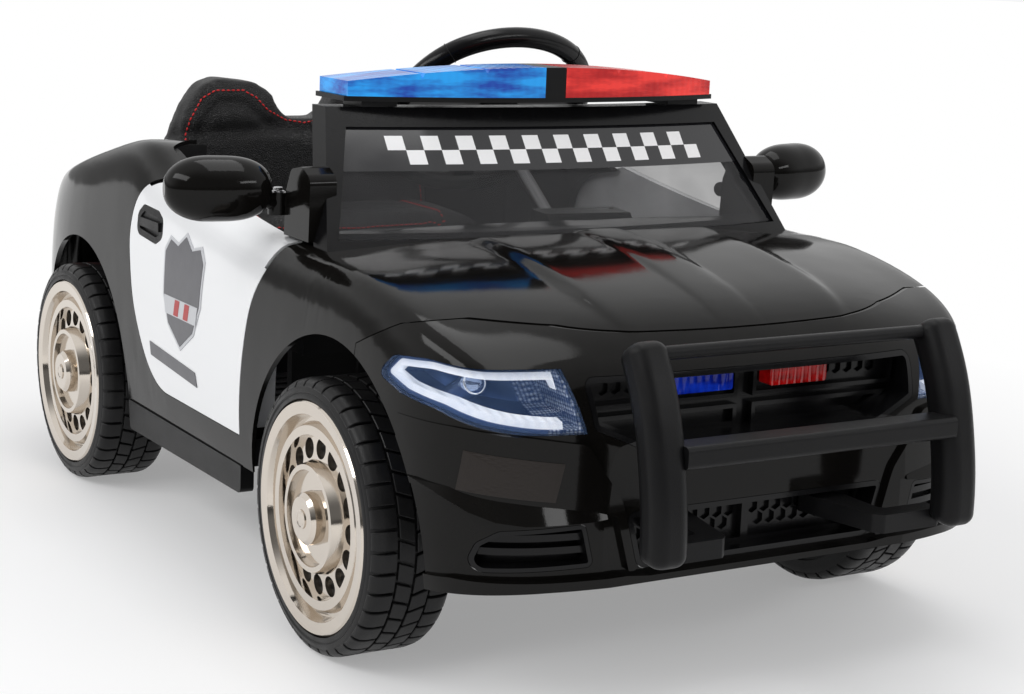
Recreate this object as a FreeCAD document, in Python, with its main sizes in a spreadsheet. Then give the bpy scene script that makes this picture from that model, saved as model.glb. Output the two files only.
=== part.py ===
import FreeCAD, Part
import Sketcher
import math
import os

# A battery ride-on police car for one child: a blow-moulded body over a floor tub, a bull bar, a low
# windscreen that carries a light bar, two doors that open and four wheels, the front pair steered.
# Millimetres. X points forward, Y to the car's left, Z up. The origin is on the ground, half way
# between the bull bar's face and the tail.

doc = FreeCAD.newDocument("ride_on_patrol_car")
sheet = doc.addObject("Spreadsheet::Sheet", "Sizes")

SIZES = [
    ("front_axle_x", 245.0, "front axle ahead of the origin"),
    ("wheelbase", 559.0, "between the axles"),
    ("front_overhang", 201.0, "front axle to the bumper's face"),
    ("rear_overhang", 210.5, "rear axle to the tail"),
    ("half_width", 256.0, "centre plane to the body's side"),
    ("skin", 4.0, "wall of the moulded body"),
    ("lip_height", 84.0, "ground to the bumper's lip"),
    ("sill_height", 106.0, "ground to the body's lower edge between the wheels"),
    ("hood_height", 303.0, "ground to the hood at the front axle"),
    ("deck_height", 346.0, "ground to the highest point of the rear quarter"),
    ("hood_dome", 6.0, "rise of the hood's dome above its sides"),
    ("panel_gap", 0.8, "gap between body panels"),
    ("tyre_radius", 106.0, "tyre's outer radius"),
    ("tyre_width", 70.0, "tyre's width"),
    ("tyre_shoulder", 9.0, "rounding of the tyre's shoulder"),
    ("tyre_seat", 88.0, "radius of the wheel's barrel under the tyre"),
    ("wheel_face", 267.0, "centre plane to the tyre's outer face"),
    ("barrel_wall", 4.0, "wall of the wheel's barrel"),
    ("barrel_inset", 2.0, "tyre's inner face to the barrel's edge"),
    ("disc_depth", 52.0, "tyre's inner face to the wheel's disc"),
    ("disc_wall", 5.0, "wall of the wheel's disc"),
    ("wheel_hub", 17.0, "radius of the wheel's hub"),
    ("cover_radius", 90.0, "radius of the wheel cover"),
    ("cover_wall", 3.0, "wall of the wheel cover"),
    ("cover_dish", 58.0, "tyre's inner face to the cover's drilled ring"),
    ("cover_holes", 16, "holes of the wheel cover"),
    ("cover_hole", 8.0, "radius of a hole of the wheel cover"),
    ("cover_hole_circle", 53.0, "radius of the circle of holes"),
    ("cover_seat", 0.1, "cover's back to the wheel's disc"),
    ("cover_step", 1.0, "small step in the cover's section"),
    ("cover_bead", 3.0, "width of each ring pressed into the cover"),
    ("cover_land", 11.0, "width of the flat ring at the cover's edge"),
    ("cap_radius", 20.0, "radius of the cover's centre cap"),
    ("cap_rise", 4.0, "cap's rise over the tyre's outer face"),
    ("cap_bevel", 3.0, "bevel of the cap"),
    ("axle_radius", 6.0, "radius of the axle and the stub axles"),
    ("running_gap", 0.05, "radial gap of a wheel on its axle"),
    ("front_arch", 138.0, "radius of the front wheel arch"),
    ("rear_arch", 134.0, "radius of the rear wheel arch"),
    ("kingpin_y", 168.0, "centre plane to the kingpin"),
    ("kingpin_radius", 5.0, "radius of the kingpin"),
    ("knuckle_height", 44.0, "height of the knuckle's barrel"),
    ("knuckle_radius", 13.0, "radius of the knuckle's barrel"),
    ("steer_arm", 45.0, "kingpin to the tie rod's pin"),
    ("steer_pin", 4.0, "radius of the pins that move the tie rod"),
    ("steer_crank", 28.5, "radius of the column's crank"),
    ("rod_height", 12.0, "height of the tie rod"),
    ("rod_width", 22.0, "width of the tie rod"),
    ("door_foot", 132.0, "ground to the door's lower edge"),
    ("door_thickness", 30.0, "thickness of the door"),
    ("screen_wall", 24.0, "depth of the windscreen's frame"),
    ("glass_wall", 4.6, "thickness of the windscreen's pane"),
    ("bar_tube", 30.0, "width of the bull bar's uprights"),
    ("bull_bar_y", 130.0, "centre plane to the middle of the upright"),
    ("rim_half_width", 100.0, "half width of the steering wheel"),
    ("rim_half_height", 89.0, "half height of the steering wheel"),
    ("rim_bar", 9.5, "radius of the steering wheel's rim bar"),
    ("steering_x", -115.0, "steering wheel's centre ahead of the origin"),
    ("steering_y", 84.0, "steering wheel's centre left of the centre plane"),
    ("steering_z", 376.0, "ground to the steering wheel's centre"),
    ("steering_tilt", 36.0, "slope of the steering column, degrees"),
    ("column_radius", 6.0, "radius of the steering column"),
    ("battery_length", 82.0, "battery along the car"),
    ("battery_width", 124.0, "battery across the car"),
    ("battery_height", 68.0, "battery's height"),
]
for row, (alias, value, meaning) in enumerate(SIZES, start=1):
    sheet.set(f"A{row}", meaning)
    sheet.set(f"B{row}", str(value))
    sheet.setAlias(f"B{row}", alias)
doc.recompute()


class Size:
    """Reads a driving dimension from the sheet by its alias."""

    def __getattr__(self, alias):
        return float(sheet.get(alias))


size = Size()
vec = FreeCAD.Vector
ORIGIN = vec(0, 0, 0)
UP = vec(0, 0, 1)
ACROSS = vec(0, 1, 0)
FORWARD = vec(1, 0, 0)
NORMALS = {"XZ": ACROSS, "YZ": FORWARD, "XY": UP}
OVERRUN = 30.0
FAR = 2000.0
CLEAR = 0.3
LAP = 1.0
TINY = 1e-6

rear_axle_x = size.front_axle_x - size.wheelbase
nose_x = size.front_axle_x + size.front_overhang
tail_x = rear_axle_x - size.rear_overhang
axle_z = size.tyre_radius


def keep(label, shape):
    """Keeps a finished shape as a labelled object of the document."""
    piece = doc.addObject("Part::Feature", label)
    piece.Label = label
    piece.Shape = shape
    return piece


def mirrored(shape):
    return shape.mirror(ORIGIN, ACROSS)


def both_sides(shape):
    return Part.makeCompound([shape, mirrored(shape)])


def box(low, high):
    return Part.makeBox(high[0] - low[0], high[1] - low[1], high[2] - low[2], vec(*low))


def rod(start, end, radius):
    """A round bar between two points."""
    way = end - start
    return Part.makeCylinder(radius, way.Length, start, way)


def place_on(plane, a, b, offset=0.0):
    """A point given by its two coordinates in a plane, in that plane's own order."""
    if plane == "XZ":
        return vec(a, offset, b)
    if plane == "YZ":
        return vec(offset, a, b)
    return vec(a, b, offset)


def rounded_wire(plane, points, radii, offset=0.0):
    """A closed wire through corner points, each corner rounded by its radius."""
    corners = [place_on(plane, a, b, offset) for a, b in points]
    count = len(corners)
    if not isinstance(radii, (list, tuple)):
        radii = [radii] * count
    starts = []
    ends = []
    arcs = []
    for i, corner in enumerate(corners):
        before = (corners[i - 1] - corner).normalize()
        after = (corners[(i + 1) % count] - corner).normalize()
        half = before.getAngle(after) / 2
        radius = radii[i]
        if radius <= 0 or abs(half - math.pi / 2) < TINY:
            starts.append(corner)
            ends.append(corner)
            arcs.append(None)
            continue
        reach = radius / math.tan(half)
        inward = (before + after).normalize()
        middle = corner + inward * (radius / math.sin(half) - radius)
        starts.append(corner + before * reach)
        ends.append(corner + after * reach)
        arcs.append(Part.Arc(starts[-1], middle, ends[-1]).toShape())
    edges = []
    for i in range(count):
        if arcs[i]:
            edges.append(arcs[i])
        following = starts[(i + 1) % count]
        if ends[i].distanceToPoint(following) > TINY:
            edges.append(Part.LineSegment(ends[i], following).toShape())
    return Part.Wire(edges)


def prism(plane, points, radii, low, high, grow=0.0):
    """An outline with rounded corners, grown by a margin and run from low to high."""
    wire = rounded_wire(plane, points, radii, low)
    if grow:
        wire = wire.makeOffset2D(grow)
    return Part.Face(wire).extrude(NORMALS[plane] * (high - low))


def spline(points):
    curve = Part.BSplineCurve()
    curve.interpolate(points)
    return curve.toShape()


def outline_prism(plane, runs, low, high):
    """A closed outline of runs that lines join: two points make a line, more a smooth curve."""
    edges = []
    last = None
    for run in list(runs) + [runs[0][:1]]:
        points = [place_on(plane, a, b, low) for a, b in run]
        if last is not None and last.distanceToPoint(points[0]) > TINY:
            edges.append(Part.LineSegment(last, points[0]).toShape())
        if len(points) == 2:
            edges.append(Part.LineSegment(*points).toShape())
        elif len(points) > 2:
            edges.append(spline(points))
        last = points[-1]
    return Part.Face(Part.Wire(edges)).extrude(NORMALS[plane] * (high - low))


# Outlines are kept as shares of the driving sizes. Nose shares go from the front axle to the
# bumper's face and up to the hood, cabin shares from the rear axle to the front one and up to the
# deck, and tail shares from the tail to the rear axle. Seen from the front, a share goes from the
# centre plane to the body's side.
def nose_side(shares):
    return [(size.front_axle_x + along * size.front_overhang, up * size.hood_height) for along, up in shares]


def nose_face(shares):
    return [(across * size.half_width, up * size.hood_height) for across, up in shares]


def cabin_side(shares):
    return [(rear_axle_x + along * size.wheelbase, up * size.deck_height) for along, up in shares]


def tail_side(shares):
    return [(tail_x + along * size.rear_overhang, up * size.deck_height) for along, up in shares]


def deck_face(shares):
    return [(across * size.half_width, up * size.deck_height) for across, up in shares]


# The body's outer form is one smooth surface over a net of poles. Each station along the car gives,
# as shares, its place, half width, shoulder height, middle height and how far the dome has risen.
rear_station_shares = [
    (1.000, 0.56, 0.600, 0.62, 0.0),
    (0.985, 0.69, 0.675, 0.70, 0.0),
    (0.925, 0.80, 0.745, 0.78, 0.0),
    (0.805, 0.88, 0.795, 0.84, 0.0),
    (0.625, 0.94, 0.835, 0.875, 0.0),
    (0.380, 0.98, 0.868, 0.897, 0.0),
    (0.115, 1.000, 0.908, 0.925, 0.0),
]
middle_station_shares = [
    (0.080, 1.0, 0.955, 0.965, 0.0),
    (0.200, 1.0, 1.000, 0.994, 0.0),
    (0.270, 1.0, 1.002, 0.994, 0.0),
    (0.345, 1.0, 0.950, 0.960, 0.0),
    (0.450, 1.0, 0.918, 0.930, 0.0),
    (0.600, 1.0, 0.885, 0.895, 0.0),
    (0.725, 1.0, 0.860, 0.883, 0.0),
    (0.830, 1.0, 0.853, 0.885, 0.0),
    (0.905, 1.0, 0.850, 0.883, 0.0),
    (0.922, 1.0, 0.851, 0.882, 0.0),
    (0.942, 1.0, 0.852, 0.880, 1.0),
    (0.962, 1.0, 0.851, 0.878, 1.0),
]
front_station_shares = [
    (0.040, 1.0, 0.970, 0.999, 0.95),
    (0.200, 1.0, 0.955, 0.990, 0.80),
    (0.400, 0.998, 0.930, 0.970, 0.62),
    (0.600, 0.982, 0.893, 0.946, 0.42),
    (0.745, 0.945, 0.853, 0.920, 0.20),
    (0.850, 0.885, 0.808, 0.885, 0.05),
    (0.925, 0.795, 0.755, 0.835, 0.0),
    (0.975, 0.685, 0.705, 0.770, 0.0),
    (1.000, 0.530, 0.645, 0.680, 0.0),
]

# Poles of a half section: share of the half width, share of the height from the lip to the
# shoulder, share of the rise from shoulder to middle, share of the dome's rise.
section_shares = [
    (0.972, 0.000, 0.00, 0.0),
    (0.996, 0.120, 0.00, 0.0),
    (1.004, 0.360, 0.00, 0.0),
    (1.000, 0.620, 0.00, 0.0),
    (0.984, 0.820, 0.00, 0.0),
    (0.962, 0.940, 0.00, 0.0),
    (0.932, 0.997, 0.00, 0.0),
    (0.885, 1.006, 0.05, 0.0),
    (0.790, 1.000, 0.32, 0.0),
    (0.630, 1.000, 0.68, 0.0),
    (0.485, 1.000, 0.86, 0.0),
    (0.452, 1.000, 0.88, 0.0),
    (0.425, 1.000, 0.90, 1.0),
    (0.390, 1.000, 0.92, 1.0),
    (0.230, 1.000, 0.98, 0.9),
    (0.105, 1.000, 1.00, 0.9),
    (0.088, 1.000, 1.00, 0.9),
    (0.070, 1.000, 1.00, 1.35),
]
RIDGE_SHARE = 1.35
DEGREE = 3


def stations():
    """Station places from tail to nose: x, half width, shoulder height, middle height, dome."""
    rows = []
    for along, wide, shoulder, middle, dome in rear_station_shares:
        x = rear_axle_x - along * size.rear_overhang
        rows.append((x, wide, shoulder * size.deck_height, middle * size.deck_height, dome))
    for along, wide, shoulder, middle, dome in middle_station_shares:
        x = rear_axle_x + along * size.wheelbase
        rows.append((x, wide, shoulder * size.deck_height, middle * size.deck_height, dome))
    for along, wide, shoulder, middle, dome in front_station_shares:
        x = size.front_axle_x + along * size.front_overhang
        rows.append((x, wide, shoulder * size.hood_height, middle * size.hood_height, dome))
    return rows


def even_knots(count):
    inner = count - DEGREE - 1
    return list(range(inner + 2)), [DEGREE + 1] + [1] * inner + [DEGREE + 1]


def body_solid(inset, foot):
    """The body's outer form, made smaller by inset all round and standing on height foot."""
    net = []
    for x, wide_share, shoulder, middle, dome_share in stations():
        along = (x - tail_x) / (nose_x - tail_x)
        x = tail_x + inset + along * (nose_x - tail_x - 2 * inset)
        wide = wide_share * size.half_width - inset
        shoulder -= inset
        middle -= inset
        row = []
        for across, up, rise, dome in section_shares:
            z = foot + up * (shoulder - foot) + rise * (middle - shoulder)
            row.append(vec(x, across * wide, z + dome * dome_share * size.hood_dome))
        row.append(vec(x, 0, middle + RIDGE_SHARE * dome_share * size.hood_dome))
        row += [vec(p.x, -p.y, p.z) for p in reversed(row[:-1])]
        net.append(row)
    row_knots, row_mults = even_knots(len(net))
    column_knots, column_mults = even_knots(len(net[0]))
    surface = Part.BSplineSurface()
    surface.buildFromPolesMultsKnots(net, row_mults, column_mults, row_knots, column_knots,
                                     False, False, DEGREE, DEGREE)
    left = surface.vIso(column_knots[0]).toShape()
    right = surface.vIso(column_knots[-1]).toShape()
    tail = surface.uIso(row_knots[0]).toShape()
    nose = surface.uIso(row_knots[-1]).toShape()
    tail_foot = Part.LineSegment(net[0][0], net[0][-1]).toShape()
    nose_foot = Part.LineSegment(net[-1][0], net[-1][-1]).toShape()
    floor = Part.Face(Part.Wire(Part.__sortEdges__([left, nose_foot, right, tail_foot])))
    tail_cap = Part.Face(Part.Wire(Part.__sortEdges__([tail, tail_foot])))
    nose_cap = Part.Face(Part.Wire(Part.__sortEdges__([nose, nose_foot])))
    shell = Part.makeShell([surface.toShape(), floor, tail_cap, nose_cap])
    shell.sewShape()
    solid = Part.makeSolid(shell)
    if solid.Volume < 0:
        solid.reverse()
    return solid


def form_under(depth):
    """The body's form at a depth under its outer face, open below the lip."""
    return body_solid(depth, size.lip_height - OVERRUN)


outer = body_solid(0.0, size.lip_height)
inner = form_under(size.skin)
lining = form_under(size.skin + CLEAR)


def wheel_arches():
    start = vec(size.front_axle_x, -FAR, axle_z)
    front = rod(start, start + ACROSS * 2 * FAR, size.front_arch)
    start = vec(rear_axle_x, -FAR, axle_z)
    return front.fuse(rod(start, start + ACROSS * 2 * FAR, size.rear_arch))


# Door outline on the side of the car: a raked front edge that leans back over the fender, an open
# top and a bowed rear edge that runs into the straight foot.
door_front_shares = [
    (0.712, 0.3815), (0.7156, 0.5173), (0.7245, 0.6156), (0.7406, 0.7168), (0.7657, 0.7832),
    (0.7943, 0.8468), (0.814, 0.9017)
]
door_rear_shares = [
    (0.4544, 0.9769), (0.3846, 0.9306), (0.3184, 0.9075), (0.2701, 0.8555), (0.2522, 0.7861),
    (0.2504, 0.7428), (0.2558, 0.6908), (0.2737, 0.5867), (0.2987, 0.5145), (0.3524, 0.4191),
    (0.4258, 0.3815)
]
DOOR_TOP_SHARE = 1.15
INNER_STEP = 4.0
DOOR_SKIN = 8.0
DOOR_ROOM = 1.5
door_front = cabin_side(door_front_shares)
door_rear = cabin_side(door_rear_shares)
door_front_x = door_front[0][0]
door_rear_x = min(a for a, b in door_rear)
door_middle = ((door_front_x + door_rear_x) / 2, (size.door_foot + size.deck_height) / 2)
door_top = DOOR_TOP_SHARE * size.deck_height


def door_prism(grow, y_from):
    """The door's outline, grown about its middle by a margin and run outwards from y_from."""
    stretch = 1 + 2 * grow / (door_front_x - door_rear_x)

    def spots(points):
        return [(door_middle[0] + (a - door_middle[0]) * stretch,
                 door_middle[1] + (b - door_middle[1]) * stretch) for a, b in points]

    top = [(door_front[-1][0], door_top), (door_rear[0][0], door_top)]
    return outline_prism("XZ", [spots(door_front), spots(top), spots(door_rear)], y_from, FAR)


# Cockpit opening in plan, from the dash back to the seat.
COCKPIT_FRONT_SHARE = 0.7943
COCKPIT_BACK_SHARE = -0.1503
SEAT_STEP_SHARE = 0.2862
SEAT_NARROW_SHARE = 0.186
SEAT_BAY_SHARE = 0.68
COCKPIT_ROUND = 18.0
cockpit_half = size.half_width - size.door_thickness - size.skin
bay_half = SEAT_BAY_SHARE * size.half_width


def cabin_x(share):
    return rear_axle_x + share * size.wheelbase


cockpit_front = cabin_x(COCKPIT_FRONT_SHARE)
cockpit_back = cabin_x(COCKPIT_BACK_SHARE)
seat_step = cabin_x(SEAT_STEP_SHARE)
seat_narrow = cabin_x(SEAT_NARROW_SHARE)
cockpit_points = [(cockpit_front, -cockpit_half), (cockpit_front, cockpit_half), (seat_step, cockpit_half),
                  (seat_narrow, bay_half), (cockpit_back, bay_half), (cockpit_back, -bay_half),
                  (seat_narrow, -bay_half), (seat_step, -cockpit_half)]

# Front fascia: everything ahead of a seam that climbs from the arch and runs round under the hood,
# with a lip that rises towards the middle.
seam_shares = [
    (0.199, -0.099), (0.199, 0.8152), (0.4478, 0.8911), (0.5721, 0.9109), (0.7214, 0.901),
    (0.8557, 0.8812), (1.1493, 0.8647), (1.1493, -0.099)
]
lip_shares = [
    (0.2736, 0.2772), (0.6269, 0.2871), (1.0, 0.3168), (1.2687, 0.3234), (1.2687, 0.0), (0.2736, 0.0)
]


def fascia_region(grow):
    return prism("XZ", nose_side(seam_shares), 0, -FAR, FAR, grow)


# Rear bumper: the lower part of the tail, a piece of its own.
bumper_shares = [
    (-0.1449, -0.0867), (1.1425, -0.0867), (1.1425, 0.4104), (0.2589, 0.4104), (0.1401, 0.4335),
    (-0.1449, 0.4335)
]


def bumper_region(grow):
    return prism("XZ", tail_side(bumper_shares), 0, -FAR, FAR, grow)


TAIL_LIP_RISE = 20.0
gap_half = size.panel_gap / 2
skin = outer.cut(inner).cut(wheel_arches())
skin = skin.cut(box((rear_axle_x, -FAR, -FAR), (size.front_axle_x, FAR, size.sill_height)))
skin = skin.cut(box((-FAR, -FAR, -FAR), (rear_axle_x, FAR, size.lip_height + TAIL_LIP_RISE)))
skin = skin.cut(prism("XZ", nose_side(lip_shares), 0, -FAR, FAR))
cockpit = prism("XY", cockpit_points, COCKPIT_ROUND, size.door_foot, FAR)
body = skin.cut(fascia_region(gap_half)).cut(cockpit).cut(both_sides(door_prism(gap_half, cockpit_half)))
rear_bumper = body.common(bumper_region(-gap_half))
body = body.cut(bumper_region(gap_half))
fascia = skin.common(fascia_region(-gap_half))
door = outer.common(door_prism(-gap_half, size.half_width - DOOR_SKIN))
door = door.fuse(outer.common(door_prism(-gap_half - INNER_STEP, cockpit_half + DOOR_ROOM * CLEAR)))

# Openings of the nose, drawn as seen from the front on the left side or whole, and the headlight,
# drawn from the side with a slanted inner end.
upper_grille_shares = [
    (-0.582, 0.802), (0.582, 0.802), (0.5664, 0.6865), (0.4141, 0.6304), (-0.4141, 0.6304),
    (-0.5664, 0.6865)
]
lower_grille_shares = [(-0.4609, 0.4851), (0.4609, 0.4851), (0.4141, 0.3432), (-0.4141, 0.3432)]
fog_vent_shares = [(0.5859, 0.4686), (0.5547, 0.363), (0.8984, 0.3564), (0.8711, 0.429), (0.8203, 0.4587)]
headlight_shares = [
    (0.3781, 0.769), (0.4627, 0.8218), (0.6318, 0.8317), (0.7811, 0.8234), (1.1194, 0.8135),
    (1.1194, 0.6766), (0.9204, 0.6799), (0.8308, 0.6964), (0.7015, 0.7244), (0.5323, 0.7393)
]
headlight_end_shares = [
    (0.5859, 0.6766), (0.6328, 0.8251), (0.6445, 0.8647), (1.1719, 0.8647), (1.1719, 0.6271),
    (0.5664, 0.6271)
]
UPPER_GRILLE_RADII = [8, 8, 6, 20, 20, 6]
LOWER_GRILLE_RADII = [6, 6, 10, 10]
FOG_VENT_RADII = [5, 5, 10, 8, 12]
HEADLIGHT_RADII = [5, 12, 40, 60, 0, 0, 30, 30, 40, 12]
NOSE_DEPTH = 62.0
nose_back = nose_x - NOSE_DEPTH


def nose_prism(shares, radii, grow=0.0):
    return prism("YZ", nose_face(shares), radii, nose_back, nose_back + FAR, grow)


def headlight_volume(grow=0.0):
    side = prism("XZ", nose_side(headlight_shares), HEADLIGHT_RADII, 0, FAR, grow)
    return side.common(prism("YZ", nose_face(headlight_end_shares), 0, -FAR, FAR, grow))


# Relief of the bumper: a panel between headlight and fog vent with a fin down to the lip, a brow over
# the vent, and the lip itself. The body's own form is moved forward for them, so they stand proud in
# front and fade out towards the arches. For the brow it is also tipped about the brow's upper edge.
corner_shares = [
    (1.0234, 0.5545), (0.9375, 0.5281), (0.9023, 0.5066), (0.8477, 0.4884), (0.7734, 0.4802),
    (0.5859, 0.4802), (0.5, 0.4851), (0.4531, 0.3465), (0.4258, 0.3465), (0.4727, 0.4884),
    (0.4844, 0.5182), (0.5508, 0.5974), (0.5938, 0.6568), (0.7422, 0.6766), (0.8672, 0.6881),
    (0.9219, 0.6931), (1.0234, 0.6931)
]
brow_shares = [
    (0.9844, 0.5578), (0.9219, 0.5545), (0.8047, 0.5396), (0.6875, 0.5215), (0.5859, 0.5033),
    (0.5352, 0.4917), (0.5352, 0.4818), (0.5859, 0.4785), (0.7734, 0.4785), (0.8477, 0.4868),
    (0.9023, 0.505), (0.9375, 0.5264)
]
lip_panel_shares = [
    (-0.9727, 0.264), (0.9727, 0.264), (0.9727, 0.3267), (0.9219, 0.3399), (0.4688, 0.3399),
    (0.3906, 0.3333), (-0.3906, 0.3333), (-0.4688, 0.3399), (-0.9219, 0.3399), (-0.9727, 0.3267)
]
CORNER_RADII = [0, 12, 12, 14, 20, 20, 3, 2, 2, 6, 20, 30, 8, 30, 30, 20, 0]
PANEL_RELIEF = 4.5
LIP_RELIEF = 8.0
BROW_TIP = 26.0
RELIEF_ROOT = 2.0
RELIEF_REACH = 94.0
core = form_under(RELIEF_ROOT)
moved_form = outer.copy()
moved_form.translate(vec(PANEL_RELIEF, 0, 0))
tipped_form = moved_form.copy()
brow_outline = nose_face(brow_shares)
brow_start, brow_end = brow_outline[5], brow_outline[1]
brow_way = vec(0, brow_end[0] - brow_start[0], brow_end[1] - brow_start[1])
tipped_form.rotate(vec(nose_x, brow_start[0], brow_start[1]), brow_way, -BROW_TIP)


def proud_part(form, shares, radii):
    """What an outline drawn from the front keeps of a form that stands ahead of the body."""
    part = form.common(prism("YZ", nose_face(shares), radii, nose_x - RELIEF_REACH, nose_x + FAR))
    return part.cut(core).cut(wheel_arches())


corner = proud_part(moved_form, corner_shares, CORNER_RADII).fuse(proud_part(tipped_form, brow_shares, 0))
lip_form = outer.copy()
lip_form.translate(vec(LIP_RELIEF, 0, 0))
lip_panel = proud_part(lip_form, lip_panel_shares, 0).cut(prism("XZ", nose_side(lip_shares), 0, -FAR, FAR))
fascia = fascia.fuse([corner, mirrored(corner), lip_panel])
fascia = fascia.cut(nose_prism(upper_grille_shares, UPPER_GRILLE_RADII))
fascia = fascia.cut(nose_prism(lower_grille_shares, LOWER_GRILLE_RADII))
fascia = fascia.cut(both_sides(nose_prism(fog_vent_shares, FOG_VENT_RADII)))
fascia = fascia.cut(both_sides(headlight_volume()))
keep("front_fascia", fascia)
keep("rear_bumper", rear_bumper)

# Grilles: a collar that follows the nose, a backing plate with honeycomb pockets, and framed panes
# that stand on the plate.
COLLAR_WALL = 4.0
PLATE_WALL = 5.0
POCKET_DEPTH = 3.0
FRAME_WALL = 3.2
FRAME_RISE = 6.0
CELL = 11.0
CELL_WEB = 1.6
UPPER_SETBACK = 36.0
LOWER_SETBACK = 27.0
upper_top_pane_shares = [(0.0273, 0.7129), (0.0273, 0.7888), (0.5547, 0.7888), (0.543, 0.7129)]
upper_foot_pane_shares = [
    (0.0273, 0.6436), (0.0273, 0.6964), (0.5312, 0.6964), (0.5, 0.6766), (0.4062, 0.6436)
]
lower_pane_shares = [(0.0, 0.3564), (0.0, 0.4719), (0.4297, 0.4719), (0.3906, 0.3564)]


def hexagon(y, z, x, reach):
    corners = [vec(x, y + reach * math.sin(math.radians(60 * k)), z + reach * math.cos(math.radians(60 * k)))
               for k in range(6)]
    return Part.Face(Part.makePolygon(corners + corners[:1]))


def honeycomb(pane, plate_front):
    """Hexagonal pockets in a plate's front, one for each cell that lies well inside the pane."""
    reach = (CELL - CELL_WEB) / math.sqrt(3)
    row_pitch = CELL * math.sqrt(3) / 2
    face = Part.Face(rounded_wire("YZ", pane, 0, 0))
    bounds = face.BoundBox
    pockets = []
    for row in range(int(bounds.ZLength / row_pitch) + 1):
        z = bounds.ZMin + (row + 0.5) * row_pitch
        shift = 0.5 * (row % 2)
        for column in range(int(bounds.YLength / CELL) + 1):
            y = bounds.YMin + (column + shift) * CELL
            wide_cell = hexagon(y, z, 0, reach + FRAME_WALL)
            if all(face.isInside(corner.Point, TINY, True) for corner in wide_cell.Vertexes):
                cell = hexagon(y, z, plate_front - POCKET_DEPTH, reach)
                pockets.append(cell.extrude(vec(POCKET_DEPTH + CELL, 0, 0)))
    return pockets


def grille(shares, radii, setback, panes):
    plate_x = nose_x - setback
    plate_front = plate_x + PLATE_WALL
    collar = outer.common(nose_prism(shares, radii, -gap_half))
    collar = collar.cut(nose_prism(shares, radii, -gap_half - COLLAR_WALL))
    collar = collar.cut(box((-FAR, -FAR, -FAR), (plate_x, FAR, FAR)))
    plate = prism("YZ", nose_face(shares), radii, plate_x, plate_front, -gap_half)
    frames = []
    pockets = []
    for pane_shares in panes:
        pane = nose_face(pane_shares)
        frame = prism("YZ", pane, 0, plate_front, plate_front + FRAME_RISE)
        frame = frame.cut(prism("YZ", pane, 0, plate_front, plate_front + FRAME_RISE, -FRAME_WALL))
        frames += [frame, mirrored(frame)]
        cells = honeycomb(pane, plate_front)
        pockets += cells + [mirrored(cell) for cell in cells]
    plate = plate.cut(Part.makeCompound(pockets))
    return collar.fuse([plate] + frames)


keep("upper_grille", grille(upper_grille_shares, UPPER_GRILLE_RADII, UPPER_SETBACK,
                            [upper_top_pane_shares, upper_foot_pane_shares]))
keep("lower_grille", grille(lower_grille_shares, LOWER_GRILLE_RADII, LOWER_SETBACK, [lower_pane_shares]))

# Fog vents: a cup in each lower corner with two slats across it.
VENT_DEPTH = 16.0
VENT_FLOOR = 4.0
VENT_WALL = 3.0
SLAT_DEPTH = 5.0
SLAT_HEIGHT = 5.0
VENT_INNER_SHARE = 0.5469
SLAT_SHARES = [0.345, 0.62]
vent = outer.common(nose_prism(fog_vent_shares, FOG_VENT_RADII, -gap_half)).cut(form_under(VENT_DEPTH))
hollow = nose_prism(fog_vent_shares, FOG_VENT_RADII, -gap_half - VENT_WALL)
hollow = hollow.cut(form_under(VENT_DEPTH - VENT_FLOOR))
vent = vent.cut(hollow)
vent_face = nose_face(fog_vent_shares)
vent_foot = min(b for a, b in vent_face)
vent_top = max(b for a, b in vent_face)
for share in SLAT_SHARES:
    slat_z = vent_foot + share * (vent_top - vent_foot)
    slat = box((nose_back, VENT_INNER_SHARE * size.half_width, slat_z),
               (nose_x, size.half_width, slat_z + SLAT_HEIGHT))
    slat = slat.common(hollow).common(form_under(SLAT_DEPTH))
    vent = vent.fuse(slat)
keep("fog_vents", both_sides(vent))

# Headlights: a clear cover that follows the body, a bowl behind it, a light strip round the bowl
# that is open at its inner end, and a projector with a round lens.
LENS_WALL = 3.0
BOWL_DEPTH = 28.0
BOWL_FLOOR = 3.0
BOWL_WALL = 2.5
STRIP_WIDTH = 5.0
STRIP_FACE = 4.2
STRIP_BACK = 9.0
PROJECTOR_RADIUS = 9.0
PROJECTOR_LENGTH = 30.0
projector_shares = [(0.7015, 0.7756), (0.5821, 0.7327)]
PROJECTOR_Y_SHARE = 0.8281
STRIP_OPEN_SHARE = 0.6484
housing = outer.common(headlight_volume(-gap_half)).cut(form_under(BOWL_DEPTH))
lens = housing.cut(form_under(LENS_WALL))
bowl_hollow = headlight_volume(-gap_half - BOWL_WALL)
bowl = housing.common(form_under(LENS_WALL + CLEAR))
bowl = bowl.cut(bowl_hollow.cut(form_under(BOWL_DEPTH - BOWL_FLOOR)))
strip = bowl_hollow.cut(headlight_volume(-gap_half - BOWL_WALL - STRIP_WIDTH))
strip = strip.common(form_under(STRIP_FACE)).cut(form_under(STRIP_BACK))
strip = strip.cut(box((-FAR, 0, -FAR), (FAR, STRIP_OPEN_SHARE * size.half_width, FAR))).cut(bowl)
eye, eye_back = [vec(a, PROJECTOR_Y_SHARE * size.half_width, b) for a, b in nose_side(projector_shares)]
projector = Part.makeSphere(PROJECTOR_RADIUS, eye)
projector = projector.fuse(rod(eye, eye + (eye_back - eye).normalize() * PROJECTOR_LENGTH, PROJECTOR_RADIUS))
projector = projector.common(form_under(STRIP_FACE)).cut(form_under(BOWL_DEPTH - BOWL_FLOOR)).cut(bowl)
projector = max(projector.Solids, key=lambda solid: solid.Volume)
keep("headlight_lenses", both_sides(lens))
keep("headlight_bowls", both_sides(bowl))
keep("headlight_strips", both_sides(strip))
keep("headlight_projectors", both_sides(projector))

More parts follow.
